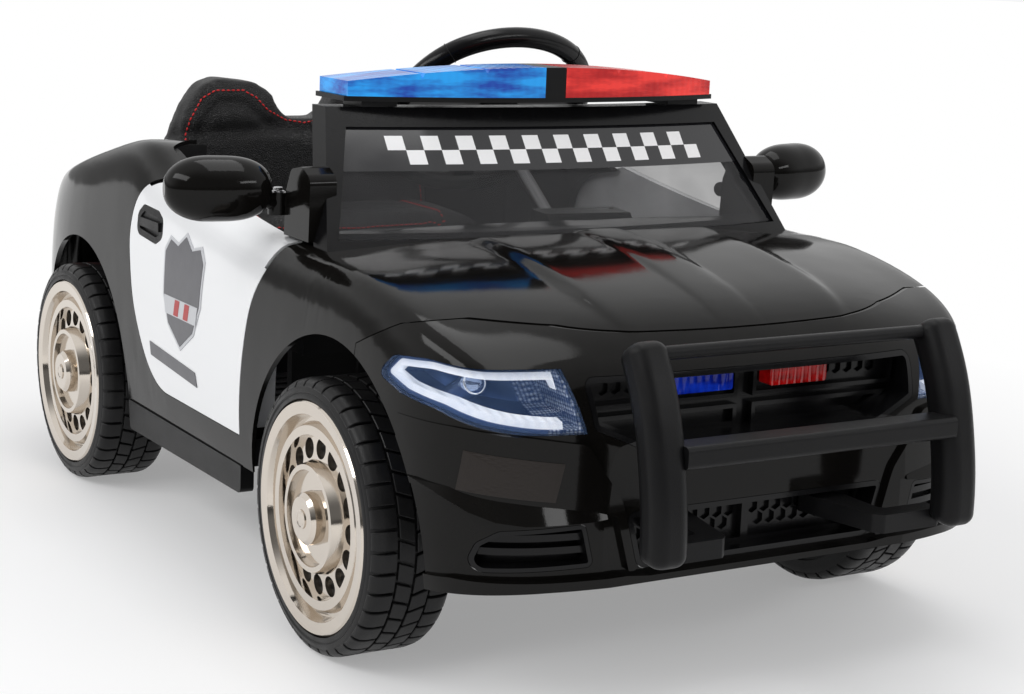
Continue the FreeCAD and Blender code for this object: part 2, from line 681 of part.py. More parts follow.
# Two small flashing lamps that stand on the upper grille's plate.
grille_lamp_shares = [(-0.0664, 0.7393), (-0.2734, 0.7393), (-0.2734, 0.7822), (-0.0664, 0.7822)]
LAMP_ROUND = 2.0
LAMP_FACE = 18.0
lamp_back = nose_x - UPPER_SETBACK + PLATE_WALL
lamp = prism("YZ", nose_face(grille_lamp_shares), LAMP_ROUND, lamp_back, nose_x - LAMP_FACE)
lamp = lamp.cut(doc.getObject("upper_grille").Shape)
keep("grille_lamp_blue", lamp)
keep("grille_lamp_red", mirrored(lamp))

# Tail lamps let into the rear corners.
tail_lamp_shares = [(0.4375, 0.6416), (0.9219, 0.6474), (0.9219, 0.711), (0.8828, 0.7341), (0.4609, 0.7341)]
TAIL_LAMP_RADII = [6, 3, 6, 6, 6]
TAIL_LAMP_REACH_SHARE = 0.43
TAIL_LAMP_DEPTH = 12.0


def tail_lamp_volume(grow=0.0):
    return prism("YZ", deck_face(tail_lamp_shares), TAIL_LAMP_RADII, tail_x - OVERRUN,
                 tail_x + TAIL_LAMP_REACH_SHARE * size.rear_overhang, grow)


tail_lamp = outer.common(tail_lamp_volume(-gap_half)).cut(form_under(TAIL_LAMP_DEPTH))
body = body.cut(both_sides(tail_lamp_volume()))
keep("tail_lamps", both_sides(tail_lamp))
keep("body_shell", body)

# Door handle: a moulded cup let into the door's skin, with a grip across it.
handle_shares = [
    (0.2791, 0.7659), (0.3614, 0.7543), (0.3882, 0.7746), (0.3828, 0.8237), (0.3614, 0.841),
    (0.3005, 0.8468), (0.2791, 0.8208)
]
grip_shares = [(0.2934, 0.789), (0.3739, 0.8121)]
HANDLE_RADII = [9, 9, 8, 8, 9, 9, 9]
HANDLE_DEPTH = 9.0
HANDLE_FLOOR = 4.0
HANDLE_RIM = 6.0
GRIP_DEPTH = 2.0
GRIP_WALL = 4.5


def handle_volume(grow=0.0):
    return prism("XZ", cabin_side(handle_shares), HANDLE_RADII, size.half_width - HANDLE_DEPTH - grow, FAR,
                 grow)


handle = outer.common(handle_volume(-CLEAR))
cup_y = size.half_width - HANDLE_DEPTH + HANDLE_FLOOR
handle = handle.cut(prism("XZ", cabin_side(handle_shares), HANDLE_RADII, cup_y, FAR, -HANDLE_RIM))
(grip_back, grip_foot), (grip_front, grip_top) = cabin_side(grip_shares)
handle = handle.fuse(box((grip_back, size.half_width - GRIP_DEPTH - GRIP_WALL, grip_foot),
                         (grip_front, size.half_width - GRIP_DEPTH, grip_top)))
door = door.cut(handle_volume())
keep("door_left", door)
keep("door_right", mirrored(door))
keep("door_handle_left", handle)
keep("door_handle_right", mirrored(handle))

# Steering column: it runs straight from the wheel's hub to a crank over the tie rod.
CRANK_WIDTH = 10.0
CRANK_WALL = 6.0
CRANK_END = 7.0
PIN_LENGTH = 20.0
PIN_RISE = 9.5
COLUMN_TAIL = 3.0
COLUMN_HEAD = 4.0
WIDE_BORE = 4.0
tilt = math.radians(size.steering_tilt)
column_way = vec(math.cos(tilt), 0, -math.sin(tilt))
crank_way = vec(-math.sin(tilt), 0, -math.cos(tilt))
wheel_centre = vec(size.steering_x, size.steering_y, size.steering_z)
arm_x = size.front_axle_x - size.steer_arm
pin_middle = vec(arm_x, size.steering_y, axle_z + PIN_RISE)
crank_tip = pin_middle - column_way * (PIN_LENGTH / 2 - CRANK_WALL / 2)
column_end = crank_tip - crank_way * size.steer_crank
column_way = (column_end - wheel_centre).normalize()
crank_way = vec(column_way.z, 0, -column_way.x)
head = wheel_centre - column_way * COLUMN_HEAD
tail = column_end + column_way * COLUMN_TAIL
column_hole = rod(head, tail, size.column_radius + size.running_gap)
wide_hole = rod(head, tail, size.column_radius + WIDE_BORE)
column = rod(head, tail, size.column_radius)
crank = box((-CRANK_END, -CRANK_WIDTH / 2, -CRANK_WALL / 2),
            (size.steer_crank + CRANK_END, CRANK_WIDTH / 2, CRANK_WALL / 2))
crank = crank.makeFillet(CRANK_WALL / 3, crank.Edges)
crank.Placement = FreeCAD.Placement(FreeCAD.Matrix(crank_way.x, 0, column_way.x, column_end.x,
                                                   0, 1, 0, column_end.y,
                                                   crank_way.z, 0, column_way.z, column_end.z,
                                                   0, 0, 0, 1))
crank_pin = rod(crank_tip, crank_tip + column_way * PIN_LENGTH, size.steer_pin)
keep("steering_column", column.fuse(crank).fuse(crank_pin))

# Floor tub in four pieces: the footwell, the plinth under the seat with its battery well and the
# rear axle's brackets, the sills under the doors, and a channel under the hood for the front axle.
TUB_WALL = 8.0
TUB_GAP = 1.0
FLOOR_RISE = 8.0
PLINTH_RISE = 22.0
PLINTH_SHARE = 0.6214
DASH_FOOT_SHARE = 0.5925
PLINTH_FRONT_SHARE = 0.2039
TUB_FRONT_SHARE = 0.7871
KNEE_SHARE = 0.6977
DASH_BACK_SHARE = 0.6583
TUB_STEP_SHARE = 0.2576
TUB_NARROW_SHARE = 0.1896
TOE_SHARE = 0.527
KNEE_HALF_SHARE = 0.586
TUB_RADII = [10, 10, 4, 12, 16, 16, 12, 12, 16, 16, 12, 4]
WELL_GAP = 4.0
WELL_FLOOR = 6.0
plinth_top = PLINTH_SHARE * size.deck_height
dash_foot = DASH_FOOT_SHARE * size.deck_height
footwell_floor = size.sill_height + FLOOR_RISE
plinth_floor = size.sill_height + PLINTH_RISE
plinth_x = cabin_x(PLINTH_FRONT_SHARE)
tub_front = cabin_x(TUB_FRONT_SHARE)
battery_x = rear_axle_x + size.rear_arch * 0.5
CHANNEL_HALF = 42.0
CHANNEL_WALL = 5.0
CHANNEL_RISE = 28.0
CHANNEL_HEIGHT = 26.0
BRACKET_HALF = 14.0
BRACKET_Y = 92.0
BRACKET_WALL = 8.0
BRACKET_DROP = 12.0
SILL_DROP = 3.0


def tub_points(shrink):
    wide = cockpit_half - shrink
    narrow = bay_half - shrink
    toe = TOE_SHARE * size.half_width - shrink
    knee_half = KNEE_HALF_SHARE * size.half_width - shrink
    knee = cabin_x(KNEE_SHARE) - shrink
    front = tub_front - shrink
    back = cockpit_back + shrink
    step = cabin_x(TUB_STEP_SHARE)
    neck = cabin_x(TUB_NARROW_SHARE)
    left = [(front, toe), (knee + TUB_WALL, knee_half), (knee, wide), (step, wide), (neck, narrow),
            (back, narrow)]
    return [(front, -toe)] + left + [(back, -narrow), (neck, -narrow), (step, -wide), (knee, -wide),
                                     (knee + TUB_WALL, -knee_half)]


tub = prism("XY", tub_points(TUB_GAP), TUB_RADII, size.sill_height, FAR)
tub = tub.cut(box((cabin_x(DASH_BACK_SHARE), -FAR, dash_foot - CLEAR), (FAR, FAR, FAR)))
tub = tub.common(lining)
tub_hollow = prism("XY", tub_points(TUB_GAP + TUB_WALL), TUB_WALL, plinth_top, FAR)
footwell = prism("XY", tub_points(TUB_GAP + TUB_WALL), TUB_WALL, footwell_floor, FAR)
footwell = footwell.cut(box((-FAR, -FAR, -FAR), (plinth_x, FAR, FAR)))
tub = tub.cut(tub_hollow).cut(footwell)
tub = tub.cut(box((-FAR, -FAR, -FAR), (plinth_x - TUB_WALL, FAR, plinth_floor)))
well_half = size.battery_width / 2 + WELL_GAP
well_reach = size.battery_length / 2 + WELL_GAP
tub = tub.cut(box((battery_x - well_reach, -well_half, plinth_floor + WELL_FLOOR),
                  (battery_x + well_reach, well_half, FAR)))
tub = tub.cut(both_sides(door_prism(-DOOR_SKIN, cockpit_half - DOOR_SKIN - TUB_WALL)))
footwell_only = box((plinth_x - TUB_WALL, -FAR, 0), (FAR, FAR, FAR))
plinth = tub.cut(footwell_only)
tub = tub.common(footwell_only)
sill = box((door_rear_x, cockpit_half - TUB_WALL, size.sill_height + CLEAR),
           (door_front_x + TUB_WALL, size.half_width, size.door_foot - SILL_DROP))
sill = sill.common(lining).cut(tub).cut(plinth)
channel_z = size.sill_height + CHANNEL_RISE
channel_front = nose_x - UPPER_SETBACK - CHANNEL_WALL
channel = box((tub_front - TUB_WALL, -CHANNEL_HALF, channel_z),
              (channel_front, CHANNEL_HALF, channel_z + CHANNEL_HEIGHT))
inside = CHANNEL_HALF - CHANNEL_WALL
channel = channel.cut(box((tub_front - OVERRUN, -inside, 0),
                          (channel_front - CHANNEL_WALL, inside, channel_z + CHANNEL_HEIGHT - CHANNEL_WALL)))
channel = channel.cut(tub)
bracket = box((rear_axle_x - BRACKET_HALF, BRACKET_Y, axle_z - BRACKET_DROP),
              (rear_axle_x + BRACKET_HALF, BRACKET_Y + BRACKET_WALL, plinth_floor + LAP))
axle_hole = rod(vec(rear_axle_x, -FAR, axle_z), vec(rear_axle_x, FAR, axle_z),
                size.axle_radius + 2 * size.running_gap)
plinth = plinth.fuse([bracket, mirrored(bracket)]).cut(axle_hole)
keep("floor_tub", tub.cut(column_hole))
keep("seat_plinth", plinth)
keep("door_sills", both_sides(sill))
keep("front_channel", channel.cut(column_hole))

# Steering wheel: a flattened rim swept round its path, three spokes and a padded hub.
HUB_RADIUS = 29.0
HUB_BACK = 12.0
HUB_RISE = 22.0
HUB_ROUND = 6.0
SPOKE_HALF = 11.0
SPOKE_WALL = 4.0
BORE_DEPTH = 4.3
rim_path_shares = [(1.0, 0.0), (0.93, 0.42), (0.66, 0.8), (0.28, 0.985), (-0.28, 0.985), (-0.66, 0.8),
                   (-0.93, 0.42), (-1.0, 0.0), (-0.93, -0.42), (-0.66, -0.8), (-0.28, -0.97), (0.28, -0.97),
                   (0.66, -0.8), (0.93, -0.42)]
rim_curve = Part.BSplineCurve()
rim_points = [vec(size.rim_half_width * a, size.rim_half_height * b, 0) for a, b in rim_path_shares]
rim_curve.interpolate(rim_points, PeriodicFlag=True)
rim = Part.Wire(rim_curve.toShape()).makePipeShell([Part.Wire(Part.Circle(
    vec(size.rim_half_width, 0, 0), ACROSS, size.rim_bar).toShape())], True, True)
hub = Part.makeCylinder(HUB_RADIUS, HUB_RISE, vec(0, 0, -HUB_BACK), UP)
hub = hub.makeFillet(HUB_ROUND, hub.Edges[:1])
wheel_form = rim.fuse(hub)
for angle, reach in ((0, size.rim_half_width), (180, size.rim_half_width), (270, size.rim_half_height)):
    spoke = box((HUB_RADIUS / 2, -SPOKE_HALF, -SPOKE_WALL),
                (reach - size.rim_bar / 2, SPOKE_HALF, SPOKE_WALL))
    spoke.rotate(ORIGIN, UP, angle)
    wheel_form = wheel_form.fuse(spoke)
bore = Part.makeCylinder(size.column_radius, HUB_BACK + BORE_DEPTH, vec(0, 0, -HUB_BACK), UP)
wheel_form = wheel_form.cut(bore)
axis_up = column_way * -1
wheel_top = vec(axis_up.z, 0, -axis_up.x)
wheel_form.Placement = FreeCAD.Placement(FreeCAD.Matrix(0, wheel_top.x, axis_up.x, wheel_centre.x,
                                                        -1, 0, 0, wheel_centre.y,
                                                        0, wheel_top.z, axis_up.z, wheel_centre.z,
                                                        0, 0, 0, 1))
keep("steering_wheel", wheel_form)

# Dashboard under the windscreen, with a cowl over a dial pod in front of the driver.
dash_shares = [
    (0.6726, 0.5925), (0.7925, 0.5925), (0.7925, 0.8671), (0.7335, 0.8671), (0.6869, 0.8468),
    (0.6583, 0.7572), (0.6798, 0.6821)
]
pod_shares = [(0.6333, 0.7746), (0.6762, 0.7688), (0.7013, 0.8555), (0.6798, 0.8931), (0.644, 0.8815)]
DASH_RADII = [4, 0, 0, 12, 14, 10, 10]
DASH_GAP = 1.5
POD_HALF = 44.0
POD_ROUND = 5.0
POD_DEPTH = 5.0
dash = prism("XZ", cabin_side(dash_shares), DASH_RADII, -cockpit_half + DASH_GAP, cockpit_half - DASH_GAP)
pod = prism("XZ", cabin_side(pod_shares), POD_ROUND, size.steering_y - POD_HALF, size.steering_y + POD_HALF)
pod_face = prism("XZ", cabin_side(pod_shares), POD_ROUND, size.steering_y - POD_HALF + POD_ROUND,
                 size.steering_y + POD_HALF - POD_ROUND, -POD_ROUND)
pod_face.translate(vec(-2 * POD_DEPTH, 0, 0))
dash = dash.fuse(pod.cut(pod_face)).common(lining).cut(wide_hole)
keep("dashboard", dash)

# Windscreen: a slanted band, bowed in plan. Every cut of it uses the same slant and bow.
GLASS_FOOT_SHARE = 1.0033
GLASS_HEAD_SHARE = 1.2772
FRAME_FOOT_SHARE = 0.944
FRAME_HEAD_SHARE = 1.3267
screen_foot_shares = [(-0.2239, 1.0033), (-0.5323, 1.2772)]
FOOT_HALF_SHARE = 0.832
HEAD_HALF_SHARE = 0.711
FRAME_FOOT_HALF_SHARE = 0.887
FRAME_HEAD_HALF_SHARE = 0.7578
SCREEN_BOW_SHARE = 0.1016
REBATE = 4.0
REBATE_SET = 20.0
GLASS_SET = 3.0
glass_foot = GLASS_FOOT_SHARE * size.hood_height
glass_head = GLASS_HEAD_SHARE * size.hood_height
screen_foot_x = nose_side(screen_foot_shares)[0][0]
screen_head_x = nose_side(screen_foot_shares)[1][0]
foot_half = FOOT_HALF_SHARE * size.half_width
head_half = HEAD_HALF_SHARE * size.half_width
screen_bow = SCREEN_BOW_SHARE * size.half_width
bow_radius = (foot_half ** 2 + screen_bow ** 2) / (2 * screen_bow)
screen_slope = (screen_head_x - screen_foot_x) / (glass_head - glass_foot)


def arc_band(x, half, z, radius, thickness):
    """A flat strip of a ring in plan: its front at x on the centre plane, its ends at half."""
    centre = x - radius
    corners = []
    for r in (radius, radius - thickness):
        end_x = centre + math.sqrt(r * r - half * half)
        corners.append((vec(end_x, -half, z), vec(centre + r, 0, z), vec(end_x, half, z)))
    front, back = corners
    return Part.Wire([Part.Arc(*front).toShape(), Part.LineSegment(front[2], back[2]).toShape(),
                      Part.Arc(*reversed(back)).toShape(), Part.LineSegment(back[0], front[0]).toShape()])


def screen_band(low, high, half_low, half_high, setback, thickness):
    wires = []
    for z, half in ((low, half_low), (high, half_high)):
        x = screen_foot_x + screen_slope * (z - glass_foot) - setback
        wires.append(arc_band(x, half, z, bow_radius - setback, thickness))
    return Part.makeLoft(wires, True, True)


frame_foot = FRAME_FOOT_SHARE * size.hood_height
frame_head = FRAME_HEAD_SHARE * size.hood_height
frame_foot_half = FRAME_FOOT_HALF_SHARE * size.half_width
frame_head_half = FRAME_HEAD_HALF_SHARE * size.half_width
frame_block = screen_band(frame_foot, frame_head, frame_foot_half, frame_head_half, 0, size.screen_wall)
sight = screen_band(glass_foot + REBATE, glass_head - REBATE, foot_half - REBATE, head_half - REBATE,
                    -REBATE_SET, REBATE_SET + 2 * size.screen_wall)
rebate = screen_band(glass_foot, glass_head, foot_half, head_half, -REBATE_SET,
                     REBATE_SET + GLASS_SET + size.glass_wall + CLEAR)
keep("windscreen_frame", frame_block.cut(sight).cut(rebate).cut(outer))
pane = screen_band(glass_foot + CLEAR, glass_head - CLEAR, foot_half - CLEAR, head_half - CLEAR, GLASS_SET,
                   size.glass_wall)
keep("windscreen_glass", pane.cut(outer))

# Light bar on two feet: a base, two coloured lenses with slanted ends and notches, and a spacer.
bar_place_shares = [(-0.5124, 1.3267), (-0.5124, 1.3564)]
BAR_HALF_SHARE = 0.698
BAR_BOW = 585.0
BAR_DEPTH = 50.0
BAR_BASE_WALL = 4.0
BAR_BASE_EDGE = 3.0
BAR_END_RISE = 12.0
BAR_CROWN = 25.0
BAR_END_CHAMFER = 12.0
SPACER_HALF = 10.0
NOTCH_SHARES = [0.36, 0.67]
NOTCH = 4.5
FOOT_Y_SHARE = 0.586
FOOT_HALF = 16.0
FOOT_BACK = 62.0
FOOT_FRONT = 28.0
bar_x, bar_foot = nose_side(bar_place_shares)[0]
bar_base = nose_side(bar_place_shares)[1][1]
bar_half = BAR_HALF_SHARE * size.half_width


def bar_band(low, high, half):
    corner = bar_x - BAR_DEPTH / 2 - BAR_END_CHAMFER
    band = Part.Face(arc_band(bar_x, half, low, BAR_BOW, BAR_DEPTH)).extrude(vec(0, 0, high - low))
    ends = [(-FAR, -half + BAR_END_CHAMFER), (corner, -half), (FAR, -half + 2 * BAR_END_CHAMFER)]
    ends = prism("XY", ends + [(a, -b) for a, b in reversed(ends)], 0, 0, FAR)
    return band.common(ends)


base = bar_band(bar_base - BAR_BASE_WALL, bar_base, bar_half + BAR_BASE_EDGE)
foot_y = FOOT_Y_SHARE * size.half_width
for y in (-foot_y, foot_y):
    base = base.fuse(box((bar_x - FOOT_BACK, y - FOOT_HALF, bar_foot + CLEAR / 2),
                         (bar_x - FOOT_FRONT, y + FOOT_HALF, bar_base - BAR_BASE_WALL / 2)))
end_top = bar_base + BAR_END_RISE
crown_top = bar_base + BAR_CROWN
crown = Part.Wire([
    Part.Arc(vec(0, -bar_half, end_top), vec(0, 0, crown_top), vec(0, bar_half, end_top)).toShape(),
    Part.LineSegment(vec(0, bar_half, end_top), vec(0, bar_half, bar_foot)).toShape(),
    Part.LineSegment(vec(0, bar_half, bar_foot), vec(0, -bar_half, bar_foot)).toShape(),
    Part.LineSegment(vec(0, -bar_half, bar_foot), vec(0, -bar_half, end_top)).toShape()])
lens_bar = bar_band(bar_base, crown_top + OVERRUN, bar_half).common(Part.Face(crown).extrude(vec(FAR, 0, 0)))
spacer = lens_bar.common(box((0, -SPACER_HALF, 0), (FAR, SPACER_HALF, FAR)))
bar_lens = lens_bar.common(box((0, SPACER_HALF, 0), (FAR, FAR, FAR)))
for share in NOTCH_SHARES:
    y = share * bar_half
    top = crown_top - (crown_top - end_top) * share ** 2
    notch = prism("YZ", [(y - NOTCH, top + NOTCH), (y + NOTCH, top + NOTCH), (y, top - NOTCH)], 0, 0, FAR)
    bar_lens = bar_lens.cut(notch)
keep("light_bar_base", base.fuse(spacer))
keep("light_bar_red", bar_lens)
keep("light_bar_blue", mirrored(bar_lens))

# Mirrors: an egg-shaped housing that is swept back, with a flat pane behind, on a pivot whose
# bracket stands against the windscreen's post.
mirror_shares = [(-0.7164, 1.1155), (-0.7512, 1.0693)]
MIRROR_Y_SHARE = 1.1094
PIVOT_Y_SHARE = 0.8945
sail_shares = [
    (-0.7015, 0.9901), (-0.4726, 0.9901), (-0.4627, 1.1551), (-0.5423, 1.1815), (-0.6418, 1.1683),
    (-0.6915, 1.1023)
]
SAIL_RADII = [0, 0, 10, 8, 8, 12]
MIRROR_HALF = vec(24.0, 43.0, 26.0)
MIRROR_SWEEP = 12.0
MIRROR_CUT = 13.0
PANE_DEPTH = 3.0
PANE_HALF_Y = 32.0
PANE_HALF_Z = 18.5
PIVOT_RADIUS = 8.0
PIVOT_BORE = 3.5
PIVOT_HALF = 9.0
STALK_RADIUS = 6.5
STALK_LENGTH = 34.0
SAIL_INNER_SHARE = 0.80
SAIL_OUTER_SHARE = 0.89
mirror_station_shares = [(-0.985, 0.26), (-0.88, 0.62), (-0.60, 0.89), (0.00, 1.00), (0.52, 0.93),
                         (0.84, 0.64), (0.98, 0.24)]
mirror_x, mirror_z = nose_side(mirror_shares)[0]
pivot_x, pivot_z = nose_side(mirror_shares)[1]
mirror_centre = vec(mirror_x, MIRROR_Y_SHARE * size.half_width, mirror_z)
pivot = vec(pivot_x, PIVOT_Y_SHARE * size.half_width, pivot_z)


def pane_disc(half_y, half_z, low, high):
    middle = vec(low, mirror_centre.y, mirror_centre.z)
    oval = Part.Ellipse(middle + vec(0, half_y, 0), middle + vec(0, 0, half_z), middle)
    return Part.Face(Part.Wire(oval.toShape())).extrude(vec(high - low, 0, 0))


ovals = []
for along, wide in mirror_station_shares:
    middle = mirror_centre + vec(0, along * MIRROR_HALF.y, 0)
    oval = Part.Ellipse(middle + vec(0, 0, wide * MIRROR_HALF.z), middle + vec(wide * MIRROR_HALF.x, 0, 0),
                        middle)
    ovals.append(Part.Wire(oval.toShape()))
mirror_back = mirror_centre.x - MIRROR_CUT
egg = Part.makeLoft(ovals, True, False).cut(box((-FAR, -FAR, -FAR), (mirror_back, FAR, FAR)))
pane = pane_disc(PANE_HALF_Y - CLEAR, PANE_HALF_Z - CLEAR, mirror_back + CLEAR, mirror_back + PANE_DEPTH)
pane_space = pane_disc(PANE_HALF_Y, PANE_HALF_Z, mirror_back - OVERRUN, mirror_back + PANE_DEPTH)
for shape in (egg, pane, pane_space):
    shape.rotate(mirror_centre, UP, MIRROR_SWEEP)
sail = prism("XZ", nose_side(sail_shares), SAIL_RADII, SAIL_INNER_SHARE * size.half_width,
             SAIL_OUTER_SHARE * size.half_width)
barrel = rod(pivot - UP * PIVOT_HALF, pivot + UP * PIVOT_HALF, PIVOT_RADIUS)
stalk_way = (mirror_centre - pivot).normalize()
stalk = rod(pivot, pivot + stalk_way * STALK_LENGTH, STALK_RADIUS)
shoe = rod(pivot, vec(pivot.x + PIVOT_HALF, SAIL_INNER_SHARE * size.half_width, pivot.z), STALK_RADIUS)
mirror = sail.fuse([barrel, shoe]).cut(frame_block).cut(outer)
mirror = max(mirror.Solids, key=lambda solid: solid.Volume)
mirror = egg.fuse([mirror, stalk]).cut(pane_space)
mirror = mirror.cut(rod(pivot - UP * OVERRUN, pivot + UP * OVERRUN, PIVOT_BORE))
keep("mirror_left", mirror)
keep("mirror_right", mirrored(mirror))
keep("mirror_glasses", both_sides(pane))

# Bull bar: two bowed uprights swept along their path, a round top rail, a flat middle rail and two
# cranked feet that stand on the lower grille's plate.
upright_shares = [
    (1.1244, 0.901), (1.1592, 0.8647), (1.2289, 0.7723), (1.2836, 0.6436), (1.3109, 0.5281),
    (1.3134, 0.4224)
]
UPRIGHT_DEPTH_SHARE = 0.93
UPRIGHT_ROUND_SHARE = 0.36
UPRIGHT_CAP = 9.0
TOP_RAIL_RADIUS = 5.0
top_rail_shares = [(1.1493, 0.8812), (-1.2189, 0.0)]
middle_rail_shares = [(1.2388, 0.6436), (1.3632, 0.6964)]
MIDDLE_RAIL_ROUND = 4.0
bar_foot_shares = [(1.2736, 0.4092), (1.2736, 0.4554)]
FOOT_INNER_SHARE = 0.262
FOOT_WALL = 16.0
FOOT_FLARE = 14.0
FOOT_ROUND = 6.0
FOOT_RADII = [2, 5, 3, 2, 2, 6, 2]
upright_path = [vec(a, size.bull_bar_y, b) for a, b in nose_side(upright_shares)]
spine = Part.Wire(spline(upright_path))
half = size.bar_tube / 2
deep = half * UPRIGHT_DEPTH_SHARE
top_way = (upright_path[1] - upright_path[0]).normalize()
section = rounded_wire("YZ", [(-half, -deep), (half, -deep), (half, deep), (-half, deep)],
                       UPRIGHT_ROUND_SHARE * size.bar_tube)
section.Placement = FreeCAD.Placement(upright_path[0], FreeCAD.Rotation(FORWARD, top_way))
upright = spine.makePipeShell([section], True, False)
ends = [edge for edge in upright.Edges if edge.BoundBox.ZMax < upright_path[-1].z + LAP
        or edge.BoundBox.ZMin > upright_path[0].z - half]
upright = upright.makeFillet(UPRIGHT_CAP, ends)
inner_y = size.bull_bar_y - half + size.bar_tube / 6
rail_x, rail_z = nose_side(top_rail_shares)[0]
top_rail = rod(vec(rail_x, -inner_y, rail_z), vec(rail_x, inner_y, rail_z), TOP_RAIL_RADIUS)
(rail_back, rail_foot), (rail_front, rail_top) = nose_side(middle_rail_shares)
middle_rail = box((rail_back, -inner_y, rail_foot), (rail_front, inner_y, rail_top))
middle_rail = middle_rail.makeFillet(MIDDLE_RAIL_ROUND, [e for e in middle_rail.Edges
                                                         if e.BoundBox.YLength > size.bull_bar_y])
(foot_front, foot_low), (foot_front, foot_high) = nose_side(bar_foot_shares)
foot_back = nose_x - LOWER_SETBACK + PLATE_WALL + CLEAR
foot_inner = FOOT_INNER_SHARE * size.half_width
foot_points = [(foot_back, foot_inner - FOOT_FLARE), (foot_front - FOOT_ROUND, foot_inner),
               (foot_front, foot_inner + FOOT_ROUND), (foot_front, inner_y + FOOT_ROUND),
               (foot_front - FOOT_WALL, inner_y + FOOT_ROUND),
               (foot_front - FOOT_WALL, foot_inner + FOOT_WALL), (foot_back, foot_inner + FOOT_WALL)]
foot = prism("XY", foot_points, FOOT_RADII, foot_low, foot_high)
keep("bull_bar", upright.fuse([mirrored(upright), top_rail, middle_rail, foot, mirrored(foot)]))

# Seat: a back with two head bumps, and a cushion on the plinth.
SEAT_HALF_SHARE = 0.617
SEAT_BACK_WALL = 46.0
SEAT_GAP = 10.0
seat_back_shares = [
    (0.6172, 0.6223), (0.6211, 0.9191), (0.5586, 1.0462), (0.4922, 1.1214), (0.4141, 1.1474),
    (0.2578, 1.1474), (0.1719, 1.1214), (0.1172, 1.0694), (0.0703, 1.0434)
]
SEAT_RADII = [8, 14, 30, 16, 16, 16, 16, 14, 10]
CUSHION_RISE = 46.0
CUSHION_ROUND = 14.0
CUSHION_FRONT = 8.0
right_half = deck_face(seat_back_shares)
seat_outline = right_half + [(-a, b) for a, b in reversed(right_half)]
seat_back_x = cockpit_back + TUB_GAP + TUB_WALL + 2 * CLEAR
seat_foot = plinth_top + CLEAR
seat_radii = SEAT_RADII + SEAT_RADII[::-1]
seat_back = prism("YZ", seat_outline, seat_radii, seat_back_x, seat_back_x + SEAT_BACK_WALL)
cushion_half = SEAT_HALF_SHARE * size.half_width - SEAT_GAP
cushion = box((seat_back_x + SEAT_BACK_WALL + 2 * CLEAR, -cushion_half, seat_foot),
              (plinth_x - CUSHION_FRONT, cushion_half, seat_foot + CUSHION_RISE))
keep("seat_back", seat_back)
keep("seat_cushion", cushion.makeFillet(CUSHION_ROUND, cushion.Edges))

# Skirts under the sills.
skirt_shares = [(0.2433, 0.3055), (0.712, 0.3055), (0.712, 0.237), (0.2504, 0.2283)]
SKIRT_RADII = [1, 1, 5, 5]
SKIRT_WALL = 12.0
SKIRT_SET = 2.0
skirt = prism("XZ", cabin_side(skirt_shares), SKIRT_RADII, size.half_width - SKIRT_SET - SKIRT_WALL,
              size.half_width - SKIRT_SET)
keep("side_skirts", both_sides(skirt))

# Battery in its well, a plain block bound to the sheet.
battery = doc.addObject("Part::Box", "battery")
battery.Label = "battery"
battery.setExpression("Length", "Sizes.battery_length")
battery.setExpression("Width", "Sizes.battery_width")
battery.setExpression("Height", "Sizes.battery_height")
battery.setExpression(".Placement.Base.x", "Sizes.front_axle_x - Sizes.wheelbase + Sizes.rear_arch / 2"
                                           " - Sizes.battery_length / 2")
battery.setExpression(".Placement.Base.y", "-Sizes.battery_width / 2")
battery.Placement.Base.z = plinth_floor + WELL_FLOOR + CLEAR

# Rear axle, bound to the sheet, and the two gearboxes with their motors that drive its wheels.
AXLE_INSET = 14.0
axle = doc.addObject("Part::Cylinder", "rear_axle")
axle.Label = "rear_axle"
axle_end = size.wheel_face - AXLE_INSET
axle.setExpression("Radius", "Sizes.axle_radius")
axle.Height = 2 * axle_end
axle.Placement = FreeCAD.Placement(vec(rear_axle_x, -axle_end, axle_z), FreeCAD.Rotation(UP, ACROSS))
GEARBOX_RADII = [20, 14, 8, 10, 10]
GEARBOX_INNER = 130.0
GEARBOX_WALL = 46.0
MOTOR_RADIUS = 15.0
MOTOR_LENGTH = 29.0
GEARBOX_CORNERS = [(-38.0, -22.0), (52.0, -22.0), (52.0, 16.0), (14.0, 21.5), (-38.0, 21.5)]
MOTOR_AHEAD = 38.0
MOTOR_DROP = 2.0
gearbox_outline = [(rear_axle_x + a, axle_z + b) for a, b in GEARBOX_CORNERS]
gearbox = prism("XZ", gearbox_outline, GEARBOX_RADII, GEARBOX_INNER, GEARBOX_INNER + GEARBOX_WALL)
motor_end = vec(rear_axle_x + MOTOR_AHEAD, GEARBOX_INNER + LAP, axle_z - MOTOR_DROP)
gearbox = gearbox.fuse(rod(motor_end - ACROSS * MOTOR_LENGTH, motor_end, MOTOR_RADIUS)).cut(axle_hole)
keep("gearboxes", both_sides(gearbox))

# Front axle beam: a strap across the car with a fork and a kingpin at each end.
FORK_WALL = 6.0
STRAP_WALL = 5.6
FORK_HALF = 14.0
FORK_REACH = 26.0
PIN_HEAD = 4.0
PIN_FOOT = 2.0
fork_half = size.knuckle_height / 2 + CLEAR
fork_foot = axle_z - fork_half - FORK_WALL
front_back = size.front_axle_x - FORK_HALF
front_front = size.front_axle_x + FORK_HALF
strap = box((front_back, -size.kingpin_y - FORK_HALF, axle_z + fork_half),
            (front_front, size.kingpin_y + FORK_HALF, axle_z + fork_half + STRAP_WALL))
fork = box((front_back, size.kingpin_y - FORK_REACH, fork_foot),
           (front_front, size.kingpin_y + FORK_HALF, fork_foot + FORK_WALL))
web = box((front_back, size.kingpin_y - FORK_REACH, fork_foot),
          (front_front, size.kingpin_y - FORK_REACH + FORK_WALL, axle_z + fork_half + LAP))
pin_x, pin_y = size.front_axle_x, size.kingpin_y
